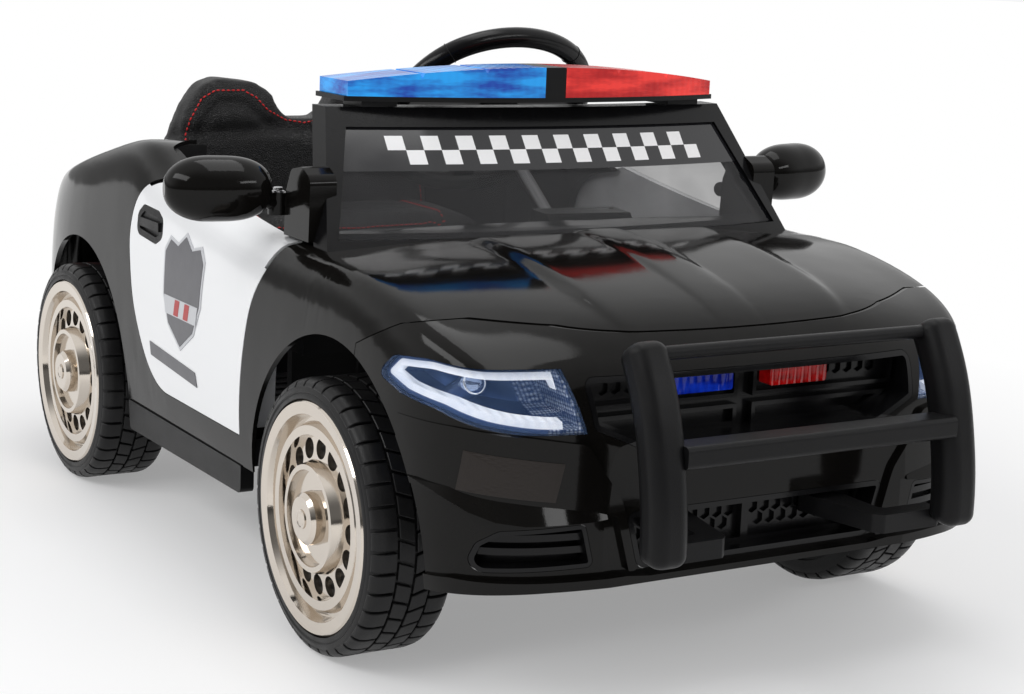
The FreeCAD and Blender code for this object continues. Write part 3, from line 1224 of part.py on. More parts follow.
kingpin = rod(vec(pin_x, pin_y, fork_foot - PIN_FOOT),
              vec(pin_x, pin_y, axle_z + fork_half + STRAP_WALL + PIN_HEAD), size.kingpin_radius)
keep("front_axle_beam", strap.fuse([fork, mirrored(fork), web, mirrored(web), kingpin, mirrored(kingpin)]))

# Knuckles: a barrel on the kingpin, a stub axle for the wheel and an arm with the tie rod's pin.
ROD_DROP = 8.0
ARM_HALF = 8.0
ARM_WALL = 6.0
ARM_GAP = 0.5
SLOT_GAP = 1.0
SLOT_RUN = 5.0
ROD_END = 12.0
LUG_WALL = 5.0
LUG_GAP = 1.4
LUG_RISE = 3.0
LUG_BACK = 0.5
rod_z = axle_z - size.rod_height / 2 - ROD_DROP
knuckle = rod(vec(pin_x, pin_y, axle_z - size.knuckle_height / 2),
              vec(pin_x, pin_y, axle_z + size.knuckle_height / 2), size.knuckle_radius)
arm = box((arm_x - ARM_HALF, pin_y - ARM_HALF, rod_z - ARM_GAP - ARM_WALL),
          (pin_x, pin_y + ARM_HALF, rod_z - ARM_GAP))
arm_pin = rod(vec(arm_x, pin_y, rod_z - ARM_WALL / 2),
              vec(arm_x, pin_y, rod_z + size.rod_height + ARM_WALL / 2), size.steer_pin)
stub = rod(vec(pin_x, pin_y + size.kingpin_radius, axle_z), vec(pin_x, axle_end, axle_z), size.axle_radius)
pin_hole = rod(vec(pin_x, pin_y, 0), vec(pin_x, pin_y, 2 * axle_z), size.kingpin_radius + size.running_gap)
knuckle = knuckle.fuse([arm, arm_pin, stub]).cut(pin_hole)
keep("knuckle_left", knuckle)
keep("knuckle_right", mirrored(knuckle))

# Tie rod: slots for the arms' pins, and two lugs that the column's crank pin moves between.
tie = box((arm_x - size.rod_width / 2, -pin_y - ROD_END, rod_z),
          (arm_x + size.rod_width / 2, pin_y + ROD_END, rod_z + size.rod_height))
slot = box((arm_x - size.steer_pin - SLOT_GAP, pin_y - size.steer_pin - SLOT_GAP, 0),
           (arm_x + size.steer_pin + SLOT_RUN, pin_y + size.steer_pin + SLOT_GAP, FAR))
tie = tie.cut(slot).cut(mirrored(slot))
for side in (-1, 1):
    lug_y = size.steering_y + side * (size.steer_pin + LUG_GAP + LUG_WALL / 2)
    tie = tie.fuse(box((arm_x - LUG_BACK, lug_y - LUG_WALL / 2, rod_z + size.rod_height - LAP),
                       (arm_x + size.rod_width / 2, lug_y + LUG_WALL / 2, axle_z + LUG_RISE + PIN_RISE)))
keep("tie_rod", tie)


# Wheels. A sketch has the radius along its X and the depth from the tyre's inner face along its Y,
# every corner bound to the sheet, and is turned about the wheel's axis.
def origin_part(body, role):
    return [part for part in body.Origin.OriginFeatures if part.Role == role][0]


def sketch_on(body, plane, label):
    sketch = body.newObject("Sketcher::SketchObject", label)
    sketch.AttachmentSupport = [(origin_part(body, plane), "")]
    sketch.MapMode = "FlatFace"
    return sketch


def bind(sketch, kind, places, amount, name, expression):
    index = sketch.addConstraint(Sketcher.Constraint(kind, *places, amount))
    sketch.renameConstraint(index, name)
    sketch.setExpression(f"Constraints.{name}", expression)


def worked_out(sketch, expression):
    value = sketch.evalExpression(expression)
    return float(getattr(value, "Value", value))


def closed_sketch(body, plane, label, corners):
    sketch = sketch_on(body, plane, label)
    spots = [(worked_out(sketch, a), worked_out(sketch, b)) for a, b in corners]
    count = len(spots)
    for i in range(count):
        sketch.addGeometry(Part.LineSegment(vec(*spots[i], 0), vec(*spots[(i + 1) % count], 0)), False)
    for i in range(count):
        sketch.addConstraint(Sketcher.Constraint("Coincident", i, 2, (i + 1) % count, 1))
    for i, (a, b) in enumerate(corners):
        if a == "0":
            sketch.addConstraint(Sketcher.Constraint("PointOnObject", i, 1, -2))
        else:
            bind(sketch, "DistanceX", (-1, 1, i, 1), spots[i][0], f"across{i}", a)
        if b == "0":
            sketch.addConstraint(Sketcher.Constraint("PointOnObject", i, 1, -1))
        else:
            bind(sketch, "DistanceY", (-1, 1, i, 1), spots[i][1], f"along{i}", b)
    return sketch


def turned(body, label, corners):
    revolution = body.newObject("PartDesign::Revolution", label + "_turned")
    revolution.Profile = closed_sketch(body, "XY_Plane", label + "_profile", corners)
    revolution.ReferenceAxis = (revolution.Profile[0], ["V_Axis"])
    revolution.Angle = 360
    doc.recompute()
    return revolution


def rounded(body, feature, label, radius, wanted):
    """Rounds the round edges of a turned feature whose radius is one of those wanted."""
    names = [f"Edge{i}" for i, edge in enumerate(feature.Shape.Edges, start=1)
             if hasattr(edge.Curve, "Radius") and min(abs(edge.Curve.Radius - r) for r in wanted) < TINY]
    fillet = body.newObject("PartDesign::Fillet", label + "_rounded")
    fillet.Base = (feature, names)
    fillet.setExpression("Radius", radius)
    doc.recompute()
    return fillet


def drilled(body, label):
    """A ring of holes through the wheel cover, patterned about the wheel's axis."""
    circle = sketch_on(body, "XZ_Plane", label + "_hole_sketch")
    circle.addGeometry(Part.Circle(vec(size.cover_hole_circle, 0, 0), UP, size.cover_hole), False)
    bind(circle, "Radius", (0,), size.cover_hole, "hole", "Sizes.cover_hole")
    circle.addConstraint(Sketcher.Constraint("PointOnObject", 0, 3, -1))
    bind(circle, "DistanceX", (-1, 1, 0, 3), size.cover_hole_circle, "ring", "Sizes.cover_hole_circle")
    hole = body.newObject("PartDesign::Pocket", label + "_hole")
    hole.Profile = circle
    hole.Type = "ThroughAll"
    hole.SideType = "Symmetric"
    doc.recompute()
    pattern = body.newObject("PartDesign::PolarPattern", label + "_holes")
    pattern.Originals = [hole]
    pattern.Axis = (origin_part(body, "Y_Axis"), [""])
    pattern.Angle = 360
    pattern.setExpression("Occurrences", "Sizes.cover_holes")
    body.Tip = pattern
    doc.recompute()


def terms(*rows):
    """Corner expressions: each name of the sheet, or sum of names and amounts, gets its prefix."""
    return [tuple(" ".join("Sizes." + word if word[0].isalpha() else word for word in text.split())
                  for text in row) for row in rows]


tyre_corners = terms(
    ("tyre_seat + running_gap", "0"),
    ("tyre_radius - tyre_shoulder / 2", "0"),
    ("tyre_radius", "tyre_shoulder"),
    ("tyre_radius", "tyre_width - tyre_shoulder"),
    ("tyre_radius - tyre_shoulder / 2", "tyre_width"),
    ("cover_radius + 2 * running_gap", "tyre_width"),
    ("cover_radius + 2 * running_gap", "disc_depth + disc_wall"),
    ("tyre_seat + running_gap", "disc_depth + disc_wall"))
rim_corners = terms(
    ("tyre_seat - barrel_wall", "barrel_inset"),
    ("tyre_seat", "barrel_inset"),
    ("tyre_seat", "disc_depth + disc_wall"),
    ("wheel_hub", "disc_depth + disc_wall"),
    ("wheel_hub", "disc_depth + 2 * disc_wall"),
    ("axle_radius + running_gap", "disc_depth + 2 * disc_wall"),
    ("axle_radius + running_gap", "barrel_wall"),
    ("wheel_hub", "barrel_wall"),
    ("wheel_hub", "disc_depth - disc_wall"),
    ("cover_hole_circle", "disc_depth"),
    ("tyre_seat - barrel_wall", "disc_depth"))
cover_corners = terms(
    ("0", "tyre_width + cap_rise"),
    ("0", "tyre_width + cap_rise + cover_wall"),
    ("cap_radius - cap_bevel", "tyre_width + cap_rise + cover_wall"),
    ("cap_radius", "tyre_width + cap_rise"),
    ("cap_radius + cover_step", "disc_depth + 2 * disc_wall + 1.5 * cover_wall"),
    ("cover_hole_circle - 2 * cover_hole - cover_step", "disc_depth + 2 * disc_wall + 1.5 * cover_wall"),
    ("cover_hole_circle - 2 * cover_hole", "tyre_width + 2 * cover_step"),
    ("cover_hole_circle - 1.5 * cover_hole", "tyre_width + 2 * cover_step"),
    ("cover_hole_circle - cover_hole - cover_step", "cover_dish + 1.5 * cover_wall"),
    ("cover_hole_circle + cover_hole + cover_step", "cover_dish + cover_wall"),
    ("cover_hole_circle + cover_hole + 2 * cover_step", "tyre_width - cover_wall"),
    ("cover_radius - cover_land - 3 * cover_bead", "tyre_width - cover_wall"),
    ("cover_radius - cover_land - 2 * cover_bead", "tyre_width - 3 * cover_wall"),
    ("cover_radius - cover_land - cover_bead", "tyre_width - 3 * cover_wall"),
    ("cover_radius - cover_land", "tyre_width"),
    ("cover_radius - 2 * cover_step", "tyre_width + cover_step"),
    ("cover_radius", "tyre_width - cover_wall / 2"),
    ("cover_radius", "disc_depth + disc_wall + cover_wall"),
    ("cover_radius - cover_wall", "disc_depth + disc_wall + cover_seat"),
    ("wheel_hub + 2 * cover_step", "disc_depth + disc_wall + cover_seat"),
    ("wheel_hub + 2 * cover_step", "disc_depth + 2 * disc_wall + 0.5 * cover_wall"),
    ("cap_radius - cap_bevel", "disc_depth + 2 * disc_wall + 0.5 * cover_wall"),
    ("cap_radius - cap_bevel - cover_step", "tyre_width + cap_rise"))


def place_wheel(body, x, side):
    """Stands a turned piece on its hub; the right-hand one is turned half round."""
    inner_face = size.wheel_face - size.tyre_width
    turn = FreeCAD.Rotation(UP, 0 if side > 0 else 180)
    body.Placement = FreeCAD.Placement(vec(x, side * inner_face, axle_z), turn)


for end, x in (("front", size.front_axle_x), ("rear", rear_axle_x)):
    for side, word in ((1, "left"), (-1, "right")):
        for kind, corners in (("tyre", tyre_corners), ("rim", rim_corners), ("cover", cover_corners)):
            label = f"{kind}_{end}_{word}"
            body = doc.addObject("PartDesign::Body", label)
            body.Label = label
            feature = turned(body, label, corners)
            if kind == "tyre":
                rounded(body, feature, label, "Sizes.tyre_shoulder / 4", [size.tyre_radius])
            if kind == "cover":
                drilled(body, label)
            place_wheel(body, x, side)
doc.recompute()

# Each piece is checked and written to its own file.
pieces = [item for item in doc.Objects if item.TypeId in ("Part::Feature", "PartDesign::Body", "Part::Box",
                                                          "Part::Cylinder")]
for item in doc.Objects:
    if "Invalid" in item.State or "Error" in item.State:
        raise RuntimeError(f"{item.Label} did not build: {item.State}")
os.makedirs("parts", exist_ok=True)
for piece in pieces:
    if piece.Shape.isNull() or not piece.Shape.isValid():
        raise RuntimeError(f"{piece.Label} is not a sound solid")
    piece.Shape.exportStep(f"parts/{piece.Label}.step")
print(len(pieces), "pieces written")
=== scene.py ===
import bpy
import math
from mathutils import Matrix, Vector
from mathutils.geometry import intersect_point_line


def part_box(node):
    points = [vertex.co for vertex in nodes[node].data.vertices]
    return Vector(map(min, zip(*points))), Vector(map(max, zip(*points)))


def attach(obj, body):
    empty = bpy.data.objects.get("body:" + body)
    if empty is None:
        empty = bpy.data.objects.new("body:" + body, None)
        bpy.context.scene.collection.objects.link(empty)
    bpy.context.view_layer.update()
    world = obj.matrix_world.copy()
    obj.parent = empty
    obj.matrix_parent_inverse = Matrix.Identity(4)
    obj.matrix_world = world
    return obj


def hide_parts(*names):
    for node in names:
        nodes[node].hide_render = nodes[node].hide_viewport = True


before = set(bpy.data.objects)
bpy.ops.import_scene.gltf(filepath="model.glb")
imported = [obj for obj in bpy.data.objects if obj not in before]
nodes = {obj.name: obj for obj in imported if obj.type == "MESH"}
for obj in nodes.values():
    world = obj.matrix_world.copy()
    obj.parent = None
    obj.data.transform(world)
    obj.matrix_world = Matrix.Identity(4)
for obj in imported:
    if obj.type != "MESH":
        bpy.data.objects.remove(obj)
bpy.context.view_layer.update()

# Camera: it stands ahead of the car and to its right, a little above the hood, as in the
# photograph, and leans by about two degrees.
CAMERA_PLACE = (1.5712, -0.8977, 0.5359)
CAMERA_AZIMUTH = math.radians(58.82)
CAMERA_RISE = math.radians(11.32)
CAMERA_LEAN = math.radians(2.268)
CAMERA_LENS = 70.88
SENSOR_WIDTH = 36.0
CAMERA_REACH = 60.0
back = Vector((math.sin(CAMERA_AZIMUTH) * math.cos(CAMERA_RISE),
               -math.cos(CAMERA_AZIMUTH) * math.cos(CAMERA_RISE), math.sin(CAMERA_RISE)))
level = Vector((math.cos(CAMERA_AZIMUTH), math.sin(CAMERA_AZIMUTH), 0))
upright = back.cross(level)
right = level * math.cos(CAMERA_LEAN) + upright * math.sin(CAMERA_LEAN)
up = upright * math.cos(CAMERA_LEAN) - level * math.sin(CAMERA_LEAN)
turn = Matrix((right, up, back)).transposed().to_euler()
bpy.ops.object.camera_add(location=CAMERA_PLACE, rotation=turn)
camera = bpy.context.object
camera.data.sensor_width = SENSOR_WIDTH
camera.data.lens = CAMERA_LENS
camera.data.clip_end = CAMERA_REACH
bpy.context.scene.camera = camera
bpy.context.scene.view_settings.view_transform = "Standard"

# Floor: a wide sheet of white paper. The camera, glass and gloss see it brighten to plain white
# away from the car, and near the car it keeps the car's shadow.
FLOOR_SIZE = 40
PAPER_WHITE = (0.93, 0.93, 0.93, 1)
SHADOW_REACH = 0.55
WHITE_REACH = 1.15
GLOW_NEAR = 0.30


def blank_finish(name):
    """A new material, with its node tree and its shader."""
    finish = bpy.data.materials.new(name)
    finish.use_nodes = True
    return finish, finish.node_tree, finish.node_tree.nodes["Principled BSDF"]


def object_place(tree):
    """Where a point lies in the frame: every finished piece sits at the origin."""
    return tree.nodes.new("ShaderNodeTexCoord").outputs["Object"]


def add_math(tree, kind, first, second=None, third=None):
    step = tree.nodes.new("ShaderNodeMath")
    step.operation = kind
    for socket, value in zip(step.inputs, (first, second, third)):
        if value is None:
            continue
        if isinstance(value, (int, float)):
            socket.default_value = value
        else:
            tree.links.new(value, socket)
    return step.outputs["Value"]


def add_range(tree, value, low, high, to_low, to_high, eased=False):
    """Maps low to high onto to_low to to_high, and holds both ends."""
    spread = tree.nodes.new("ShaderNodeMapRange")
    spread.interpolation_type = "SMOOTHSTEP" if eased else "LINEAR"
    for label, amount in (("From Min", low), ("From Max", high), ("To Min", to_low), ("To Max", to_high)):
        spread.inputs[label].default_value = amount
    tree.links.new(value, spread.inputs["Value"])
    return spread.outputs["Result"]


bpy.ops.mesh.primitive_plane_add(size=FLOOR_SIZE)
floor = bpy.context.object
floor.name = "studio_floor"
floor_paint, tree, paper = blank_finish("floor_paint")
paper.inputs["Base Color"].default_value = PAPER_WHITE
paper.inputs["Roughness"].default_value = 0.9
paper.inputs["Specular IOR Level"].default_value = 0.0
path = tree.nodes.new("ShaderNodeLightPath")
seen = add_math(tree, "MAXIMUM", path.outputs["Is Camera Ray"], path.outputs["Is Transmission Ray"])
seen = add_math(tree, "MAXIMUM", seen, path.outputs["Is Glossy Ray"])
distance = tree.nodes.new("ShaderNodeVectorMath")
distance.operation = "LENGTH"
tree.links.new(object_place(tree), distance.inputs[0])
brightness = add_range(tree, distance.outputs["Value"], SHADOW_REACH, WHITE_REACH, GLOW_NEAR, 1.0)
glow = tree.nodes.new("ShaderNodeEmission")
blend = tree.nodes.new("ShaderNodeMixShader")
tree.links.new(add_math(tree, "MULTIPLY", brightness, seen), blend.inputs["Fac"])
tree.links.new(paper.outputs["BSDF"], blend.inputs[1])
tree.links.new(glow.outputs["Emission"], blend.inputs[2])
tree.links.new(blend.outputs["Shader"], tree.nodes["Material Output"].inputs["Surface"])
floor.data.materials.append(floor_paint)

# Room and lamps: a white studio, which gloss sees with a darker skirting and one dark side, and
# three soft oblong lamps: one to the car's right, one overhead and one before its nose.
ROOM_DARK_SIDE = (0.88, -0.46, -0.10)
ROOM_SEEN = (0.92, 0.92, 0.93)
ROOM_LIGHT = (0.62, 0.62, 0.63)
WALL_BRIGHT = 0.92
WALL_DARK = 0.16
SKIRTING_SHARE = 0.35
LAMPS = [
    ("key_lamp", (0.3, -2.0, 1.8), (48, 0, 8), (2.2, 0.6), 20.0),
    ("top_lamp", (0.0, 0.2, 2.6), (0, 0, 0), (2.4, 0.9), 16.0),
    ("nose_lamp", (2.5, 0.9, 1.5), (62, 0, 112), (1.5, 0.3), 9.0),
]


def add_mix(tree, factor, first, second):
    mix = tree.nodes.new("ShaderNodeMix")
    mix.data_type = "RGBA"
    for label, value in (("Factor", factor), ("A", first), ("B", second)):
        if isinstance(value, tuple):
            mix.inputs[label].default_value = value + (1,)
        else:
            tree.links.new(value, mix.inputs[label])
    return mix.outputs["Result"]


def add_axes(tree, vector):
    """The X, Y and Z of a vector."""
    split = tree.nodes.new("ShaderNodeSeparateXYZ")
    tree.links.new(vector, split.inputs["Vector"])
    return split.outputs


room = bpy.data.worlds.new("studio_room")
bpy.context.scene.world = room
room.use_nodes = True
tree = room.node_tree
path = tree.nodes.new("ShaderNodeLightPath")
seen = add_math(tree, "MAXIMUM", path.outputs["Is Camera Ray"], path.outputs["Is Transmission Ray"])
plain_wall = add_mix(tree, seen, ROOM_LIGHT, ROOM_SEEN)
direction = tree.nodes.new("ShaderNodeTexCoord").outputs["Generated"]
heading = tree.nodes.new("ShaderNodeVectorMath")
heading.operation = "DOT_PRODUCT"
heading.inputs[1].default_value = ROOM_DARK_SIDE
tree.links.new(direction, heading.inputs[0])
wall = add_range(tree, heading.outputs["Value"], 0.05, 0.75, WALL_BRIGHT, WALL_DARK, eased=True)
rise = add_math(tree, "ABSOLUTE", add_axes(tree, direction)["Z"])
skirting = add_range(tree, rise, 0.04, 0.22, SKIRTING_SHARE, 1.0, eased=True)
mirrored_wall = add_math(tree, "MULTIPLY", wall, skirting)
colour = add_mix(tree, path.outputs["Is Glossy Ray"], plain_wall, mirrored_wall)
tree.links.new(colour, tree.nodes["Background"].inputs["Color"])
for name, place, tilt, size, power in LAMPS:
    bpy.ops.object.light_add(type="AREA", location=place, rotation=[math.radians(angle) for angle in tilt])
    lamp = bpy.context.object
    lamp.name = name
    lamp.data.shape = "RECTANGLE"
    lamp.data.size, lamp.data.size_y = size
    lamp.data.energy = power

# Body shell, nose panel and rear bumper: blow-moulded plastic in gloss black. Fine dust, faint
# swirls from wiping and a slight ripple of the moulding break up the mirror finish.


def shader_group(name, inputs, outputs):
    """An empty node group with the named inputs and outputs; colours are given as triples."""
    group = bpy.data.node_groups.new(name, "ShaderNodeTree")
    for label, value in inputs:
        kind = "NodeSocketColor" if isinstance(value, tuple) else "NodeSocketFloat"
        socket = group.interface.new_socket(name=label, in_out="INPUT", socket_type=kind)
        socket.default_value = value + (1,) if isinstance(value, tuple) else value
    for label, kind in outputs:
        group.interface.new_socket(name=label, in_out="OUTPUT", socket_type=kind)
    return group, group.nodes.new("NodeGroupInput"), group.nodes.new("NodeGroupOutput")


def add_noise(tree, vector, scale, detail, rough=0.5):
    noise = tree.nodes.new("ShaderNodeTexNoise")
    noise.inputs["Detail"].default_value = detail
    noise.inputs["Roughness"].default_value = rough
    if isinstance(scale, float):
        noise.inputs["Scale"].default_value = scale
    else:
        tree.links.new(scale, noise.inputs["Scale"])
    tree.links.new(vector, noise.inputs["Vector"])
    return noise.outputs["Fac"]


def add_relief(tree, height, depth):
    """Lays a relief of the given depth on a material's shader."""
    relief = tree.nodes.new("ShaderNodeBump")
    relief.inputs["Distance"].default_value = depth
    tree.links.new(height, relief.inputs["Height"])
    tree.links.new(relief.outputs["Normal"], tree.nodes["Principled BSDF"].inputs["Normal"])


# Every moulded or plated surface takes its slow colour drift, dust, wiping marks and grain from
# this one effect. Dust lies thickest on what faces up.
DUSTED_GREY = (0.5, 0.48, 0.45)
surface, given, made = shader_group(
    "handled_surface",
    [("Color", (0.5, 0.5, 0.5)), ("Dust Color", (0.4, 0.38, 0.35)), ("Dust", 0.1), ("Roughness", 0.3),
     ("Spread", 0.1), ("Grain Scale", 400.0), ("Grain", 1.0), ("Ripple", 0.0)],
    [("Color", "NodeSocketColor"), ("Roughness", "NodeSocketFloat"), ("Height", "NodeSocketFloat")])
spot = object_place(surface)
slow = add_noise(surface, spot, 7.0, 3.0)
marks = add_noise(surface, spot, 55.0, 5.0, 0.65)
specks = add_noise(surface, spot, 900.0, 1.0)
facing = add_axes(surface, surface.nodes.new("ShaderNodeNewGeometry").outputs["Normal"])
settled = add_range(surface, facing["Z"], -0.2, 1.0, 0.35, 1.0)
film = add_range(surface, marks, 0.45, 0.8, 0.0, 0.5)
points = add_range(surface, specks, 0.68, 0.74, 0.0, 1.0)
cover = add_math(surface, "MULTIPLY", add_math(surface, "ADD", film, points), settled)
dust = add_math(surface, "MULTIPLY", cover, given.outputs["Dust"])
drift = add_mix(surface, add_range(surface, slow, 0.3, 0.7, 0.0, 0.12), given.outputs["Color"], DUSTED_GREY)
drift = add_mix(surface, add_math(surface, "MULTIPLY", given.outputs["Dust"], 0.6), given.outputs["Color"],
                drift)
surface.links.new(add_mix(surface, dust, drift, given.outputs["Dust Color"]), made.inputs["Color"])
change = add_math(surface, "MULTIPLY", add_range(surface, marks, 0.3, 0.75, -0.5, 0.5),
                  given.outputs["Spread"])
rough = add_math(surface, "ADD", add_math(surface, "ADD", given.outputs["Roughness"], change),
                 add_math(surface, "MULTIPLY", dust, 0.4))
surface.links.new(rough, made.inputs["Roughness"])
grain = add_noise(surface, spot, given.outputs["Grain Scale"], 2.0)
grain = add_math(surface, "MULTIPLY", grain, given.outputs["Grain"])
ripple = add_math(surface, "MULTIPLY", add_noise(surface, spot, 14.0, 1.0), given.outputs["Ripple"])
surface.links.new(add_math(surface, "ADD", grain, ripple), made.inputs["Height"])


def handled_finish(name, colour, dust, roughness, spread, grain_scale, grain, ripple=0.0, metallic=0.0,
                   coat=0.0, bump=0.0004, dust_colour=(0.30, 0.29, 0.27), gloss=0.5):
    """A material of the handled surface, with its own colour, gloss and grain."""
    finish, tree, shader = blank_finish(name)
    skin = tree.nodes.new("ShaderNodeGroup")
    skin.node_tree = surface
    for label, value in (("Color", colour + (1,)), ("Dust Color", dust_colour + (1,)), ("Dust", dust),
                         ("Roughness", roughness), ("Spread", spread), ("Grain Scale", grain_scale),
                         ("Grain", grain), ("Ripple", ripple)):
        skin.inputs[label].default_value = value
    tree.links.new(skin.outputs["Color"], shader.inputs["Base Color"])
    tree.links.new(skin.outputs["Roughness"], shader.inputs["Roughness"])
    add_relief(tree, skin.outputs["Height"], bump)
    for label, value in (("Metallic", metallic), ("Coat Weight", coat), ("Coat Roughness", 0.05),
                         ("Specular IOR Level", gloss)):
        shader.inputs[label].default_value = value
    return finish


def dress(finish, *names):
    """Gives CAD nodes their finish."""
    for name in names:
        nodes[name].data.materials.clear()
        nodes[name].data.materials.append(finish)


body_gloss = handled_finish("body_gloss_black", (0.0042, 0.0038, 0.0034), 0.02, 0.09, 0.05, 700.0, 0.03,
                            1.0, coat=0.05, bump=0.0006, dust_colour=(0.16, 0.15, 0.135), gloss=0.15)
dress(body_gloss, "body_shell", "front_fascia", "rear_bumper", "mirror_left", "mirror_right")

# Doors: gloss white mouldings let into the black body, wiped clean and a little warm. Their handles
# are separate black mouldings.
door_gloss = handled_finish("door_gloss_white", (0.84, 0.85, 0.86), 0.03, 0.14, 0.05, 700.0, 0.03, 1.0,
                            coat=0.4, bump=0.0005, dust_colour=(0.6, 0.58, 0.55))
dress(door_gloss, "door_left", "door_right")

# Satin black mouldings: windscreen frame, bull bar, skirts, tub, dash and grilles, with the fine
# grain that the mould leaves in unpainted plastic.
WHEELS = ("front_left", "front_right", "rear_left", "rear_right")
SATIN_DUST = (0.12, 0.116, 0.11)
satin = handled_finish("satin_black_moulding", (0.0055, 0.0055, 0.006), 0.04, 0.34, 0.12, 1600.0, 0.5, 0.4,
                       dust_colour=SATIN_DUST, gloss=0.16)
dress(satin, "bull_bar", "side_skirts", "floor_tub", "seat_plinth", "door_sills", "dashboard",
      "light_bar_base", "door_handle_left", "door_handle_right")
dress(satin, *["rim_" + wheel for wheel in WHEELS])
grille_black = handled_finish("grille_black", (0.0035, 0.0035, 0.004), 0.03, 0.18, 0.08, 1200.0, 0.15, 0.5,
                              dust_colour=(0.10, 0.096, 0.09), gloss=0.22)
dress(grille_black, "lower_grille", "upper_grille", "fog_vents", "steering_wheel")
frame_satin = handled_finish("screen_frame_black", (0.0045, 0.0045, 0.005), 0.03, 0.20, 0.10, 1200.0, 0.2,
                             0.6, dust_colour=SATIN_DUST, gloss=0.17)
dress(frame_satin, "windscreen_frame")

# Running gear: black-painted steel axles and linkage, a plated rear axle, a dull steering column,
# and the grey mouldings of the battery and the gearboxes.
dark_metal = handled_finish("black_painted_steel", (0.025, 0.025, 0.026), 0.2, 0.4, 0.15, 500.0, 0.4,
                            metallic=0.2)
dress(dark_metal, "front_axle_beam", "knuckle_left", "knuckle_right", "tie_rod", "front_channel")
bright_steel = handled_finish("plated_steel", (0.55, 0.55, 0.56), 0.1, 0.28, 0.15, 300.0, 0.3, metallic=1.0)
dress(bright_steel, "rear_axle")
dull_steel = handled_finish("dull_steel", (0.17, 0.17, 0.175), 0.1, 0.48, 0.12, 300.0, 0.3, metallic=1.0)
dress(dull_steel, "steering_column")
grey_moulding = handled_finish("grey_moulding", (0.12, 0.12, 0.125), 0.12, 0.5, 0.1, 900.0, 0.4)
dress(grey_moulding, "battery", "gearboxes")

# Windscreen pane: a smoked clear sheet in a rebate of the frame. A black band runs along its top
# edge with a plain chequer of white squares.
PANE_FOOT, PANE_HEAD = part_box("windscreen_glass")
BAND_SHARE = 0.60
CHEQUER_FOOT = 0.66
CHEQUER_ROW = 0.13
CHEQUER_WIDTH = 0.0152
CHEQUER_HALF = 10 * CHEQUER_WIDTH
SMOKE_BLACK = (0.012, 0.012, 0.014)
CHEQUER_WHITE = (0.85, 0.85, 0.85)
screen, tree, shader = blank_finish("smoked_screen")
spot = object_place(tree)
where = add_axes(tree, spot)
rise = add_range(tree, where["Z"], PANE_FOOT.z, PANE_HEAD.z, 0.0, 1.0)
band = add_math(tree, "GREATER_THAN", rise, BAND_SHARE)
strip = add_math(tree, "MULTIPLY", add_math(tree, "GREATER_THAN", rise, CHEQUER_FOOT),
                 add_math(tree, "LESS_THAN", rise, CHEQUER_FOOT + 2 * CHEQUER_ROW))
column = add_math(tree, "FLOOR", add_math(tree, "DIVIDE", where["Y"], CHEQUER_WIDTH))
row = add_math(tree, "DIVIDE", add_math(tree, "SUBTRACT", rise, CHEQUER_FOOT), CHEQUER_ROW)
row = add_math(tree, "FLOOR", row)
square = add_math(tree, "PINGPONG", add_math(tree, "ADD", column, row), 1.0)
within = add_math(tree, "LESS_THAN", add_math(tree, "ABSOLUTE", where["Y"]), CHEQUER_HALF)
white = add_math(tree, "MULTIPLY", add_math(tree, "MULTIPLY", strip, square), within)
smear = add_noise(tree, spot, 18.0, 4.0)
smoke = add_range(tree, smear, 0.3, 0.7, 0.36, 0.46)
tree.links.new(add_mix(tree, white, SMOKE_BLACK, CHEQUER_WHITE), shader.inputs["Base Color"])
tree.links.new(add_math(tree, "MAXIMUM", band, smoke), shader.inputs["Alpha"])
tree.links.new(add_range(tree, smear, 0.3, 0.7, 0.03, 0.12), shader.inputs["Roughness"])
shader.inputs["Specular IOR Level"].default_value = 0.6
dress(screen, "windscreen_glass")

# Light bar: two clear mouldings, blue on the car's right and red on its left, over a black base.
# Ribs inside them are a relief, and the light they scatter is painted in as brighter bands; brighter
# spots are painted highlights, and a faint emission paints a glow on them, though no lamp is lit
# in them. The grille lamps and tail lamps are made alike.


def lens_finish(name, deep, bright, glow, rib_share=0.25, rib_depth=0.0006):
    """A coloured clear moulding with upright ribs; its brighter bands and spots inside are painted
    highlights, and its emission is a painted glow.
    """
    finish, tree, shader = blank_finish(name)
    spot = object_place(tree)
    stretch = tree.nodes.new("ShaderNodeMapping")
    stretch.inputs["Scale"].default_value = (0.6, 0.22, 1.2)
    tree.links.new(spot, stretch.inputs["Vector"])
    # painted highlights: spots of the brighter colour, stretched along the lens
    painted_highlights = add_noise(tree, stretch.outputs["Vector"], 60.0, 4.0, 0.6)
    painted_highlights = add_range(tree, painted_highlights, 0.40, 0.62, 0.0, 0.85)
    ribs = tree.nodes.new("ShaderNodeTexWave")
    ribs.bands_direction = "Y"
    ribs.inputs["Scale"].default_value = 45.0
    ribs.inputs["Distortion"].default_value = 1.5
    tree.links.new(spot, ribs.inputs["Vector"])
    # painted light: the ribs' bands and the highlight spots mix in the brighter colour
    share = add_math(tree, "MULTIPLY_ADD", ribs.outputs["Fac"], rib_share, painted_highlights)
    colour = add_mix(tree, share, deep, bright)
    tree.links.new(colour, shader.inputs["Base Color"])
    tree.links.new(colour, shader.inputs["Emission Color"])
    # painted glow: a faint emission in the lens's own colours
    shader.inputs["Emission Strength"].default_value = glow
    shader.inputs["Roughness"].default_value = 0.10
    shader.inputs["Specular IOR Level"].default_value = 0.35
    add_relief(tree, ribs.outputs["Fac"], rib_depth)
    return finish


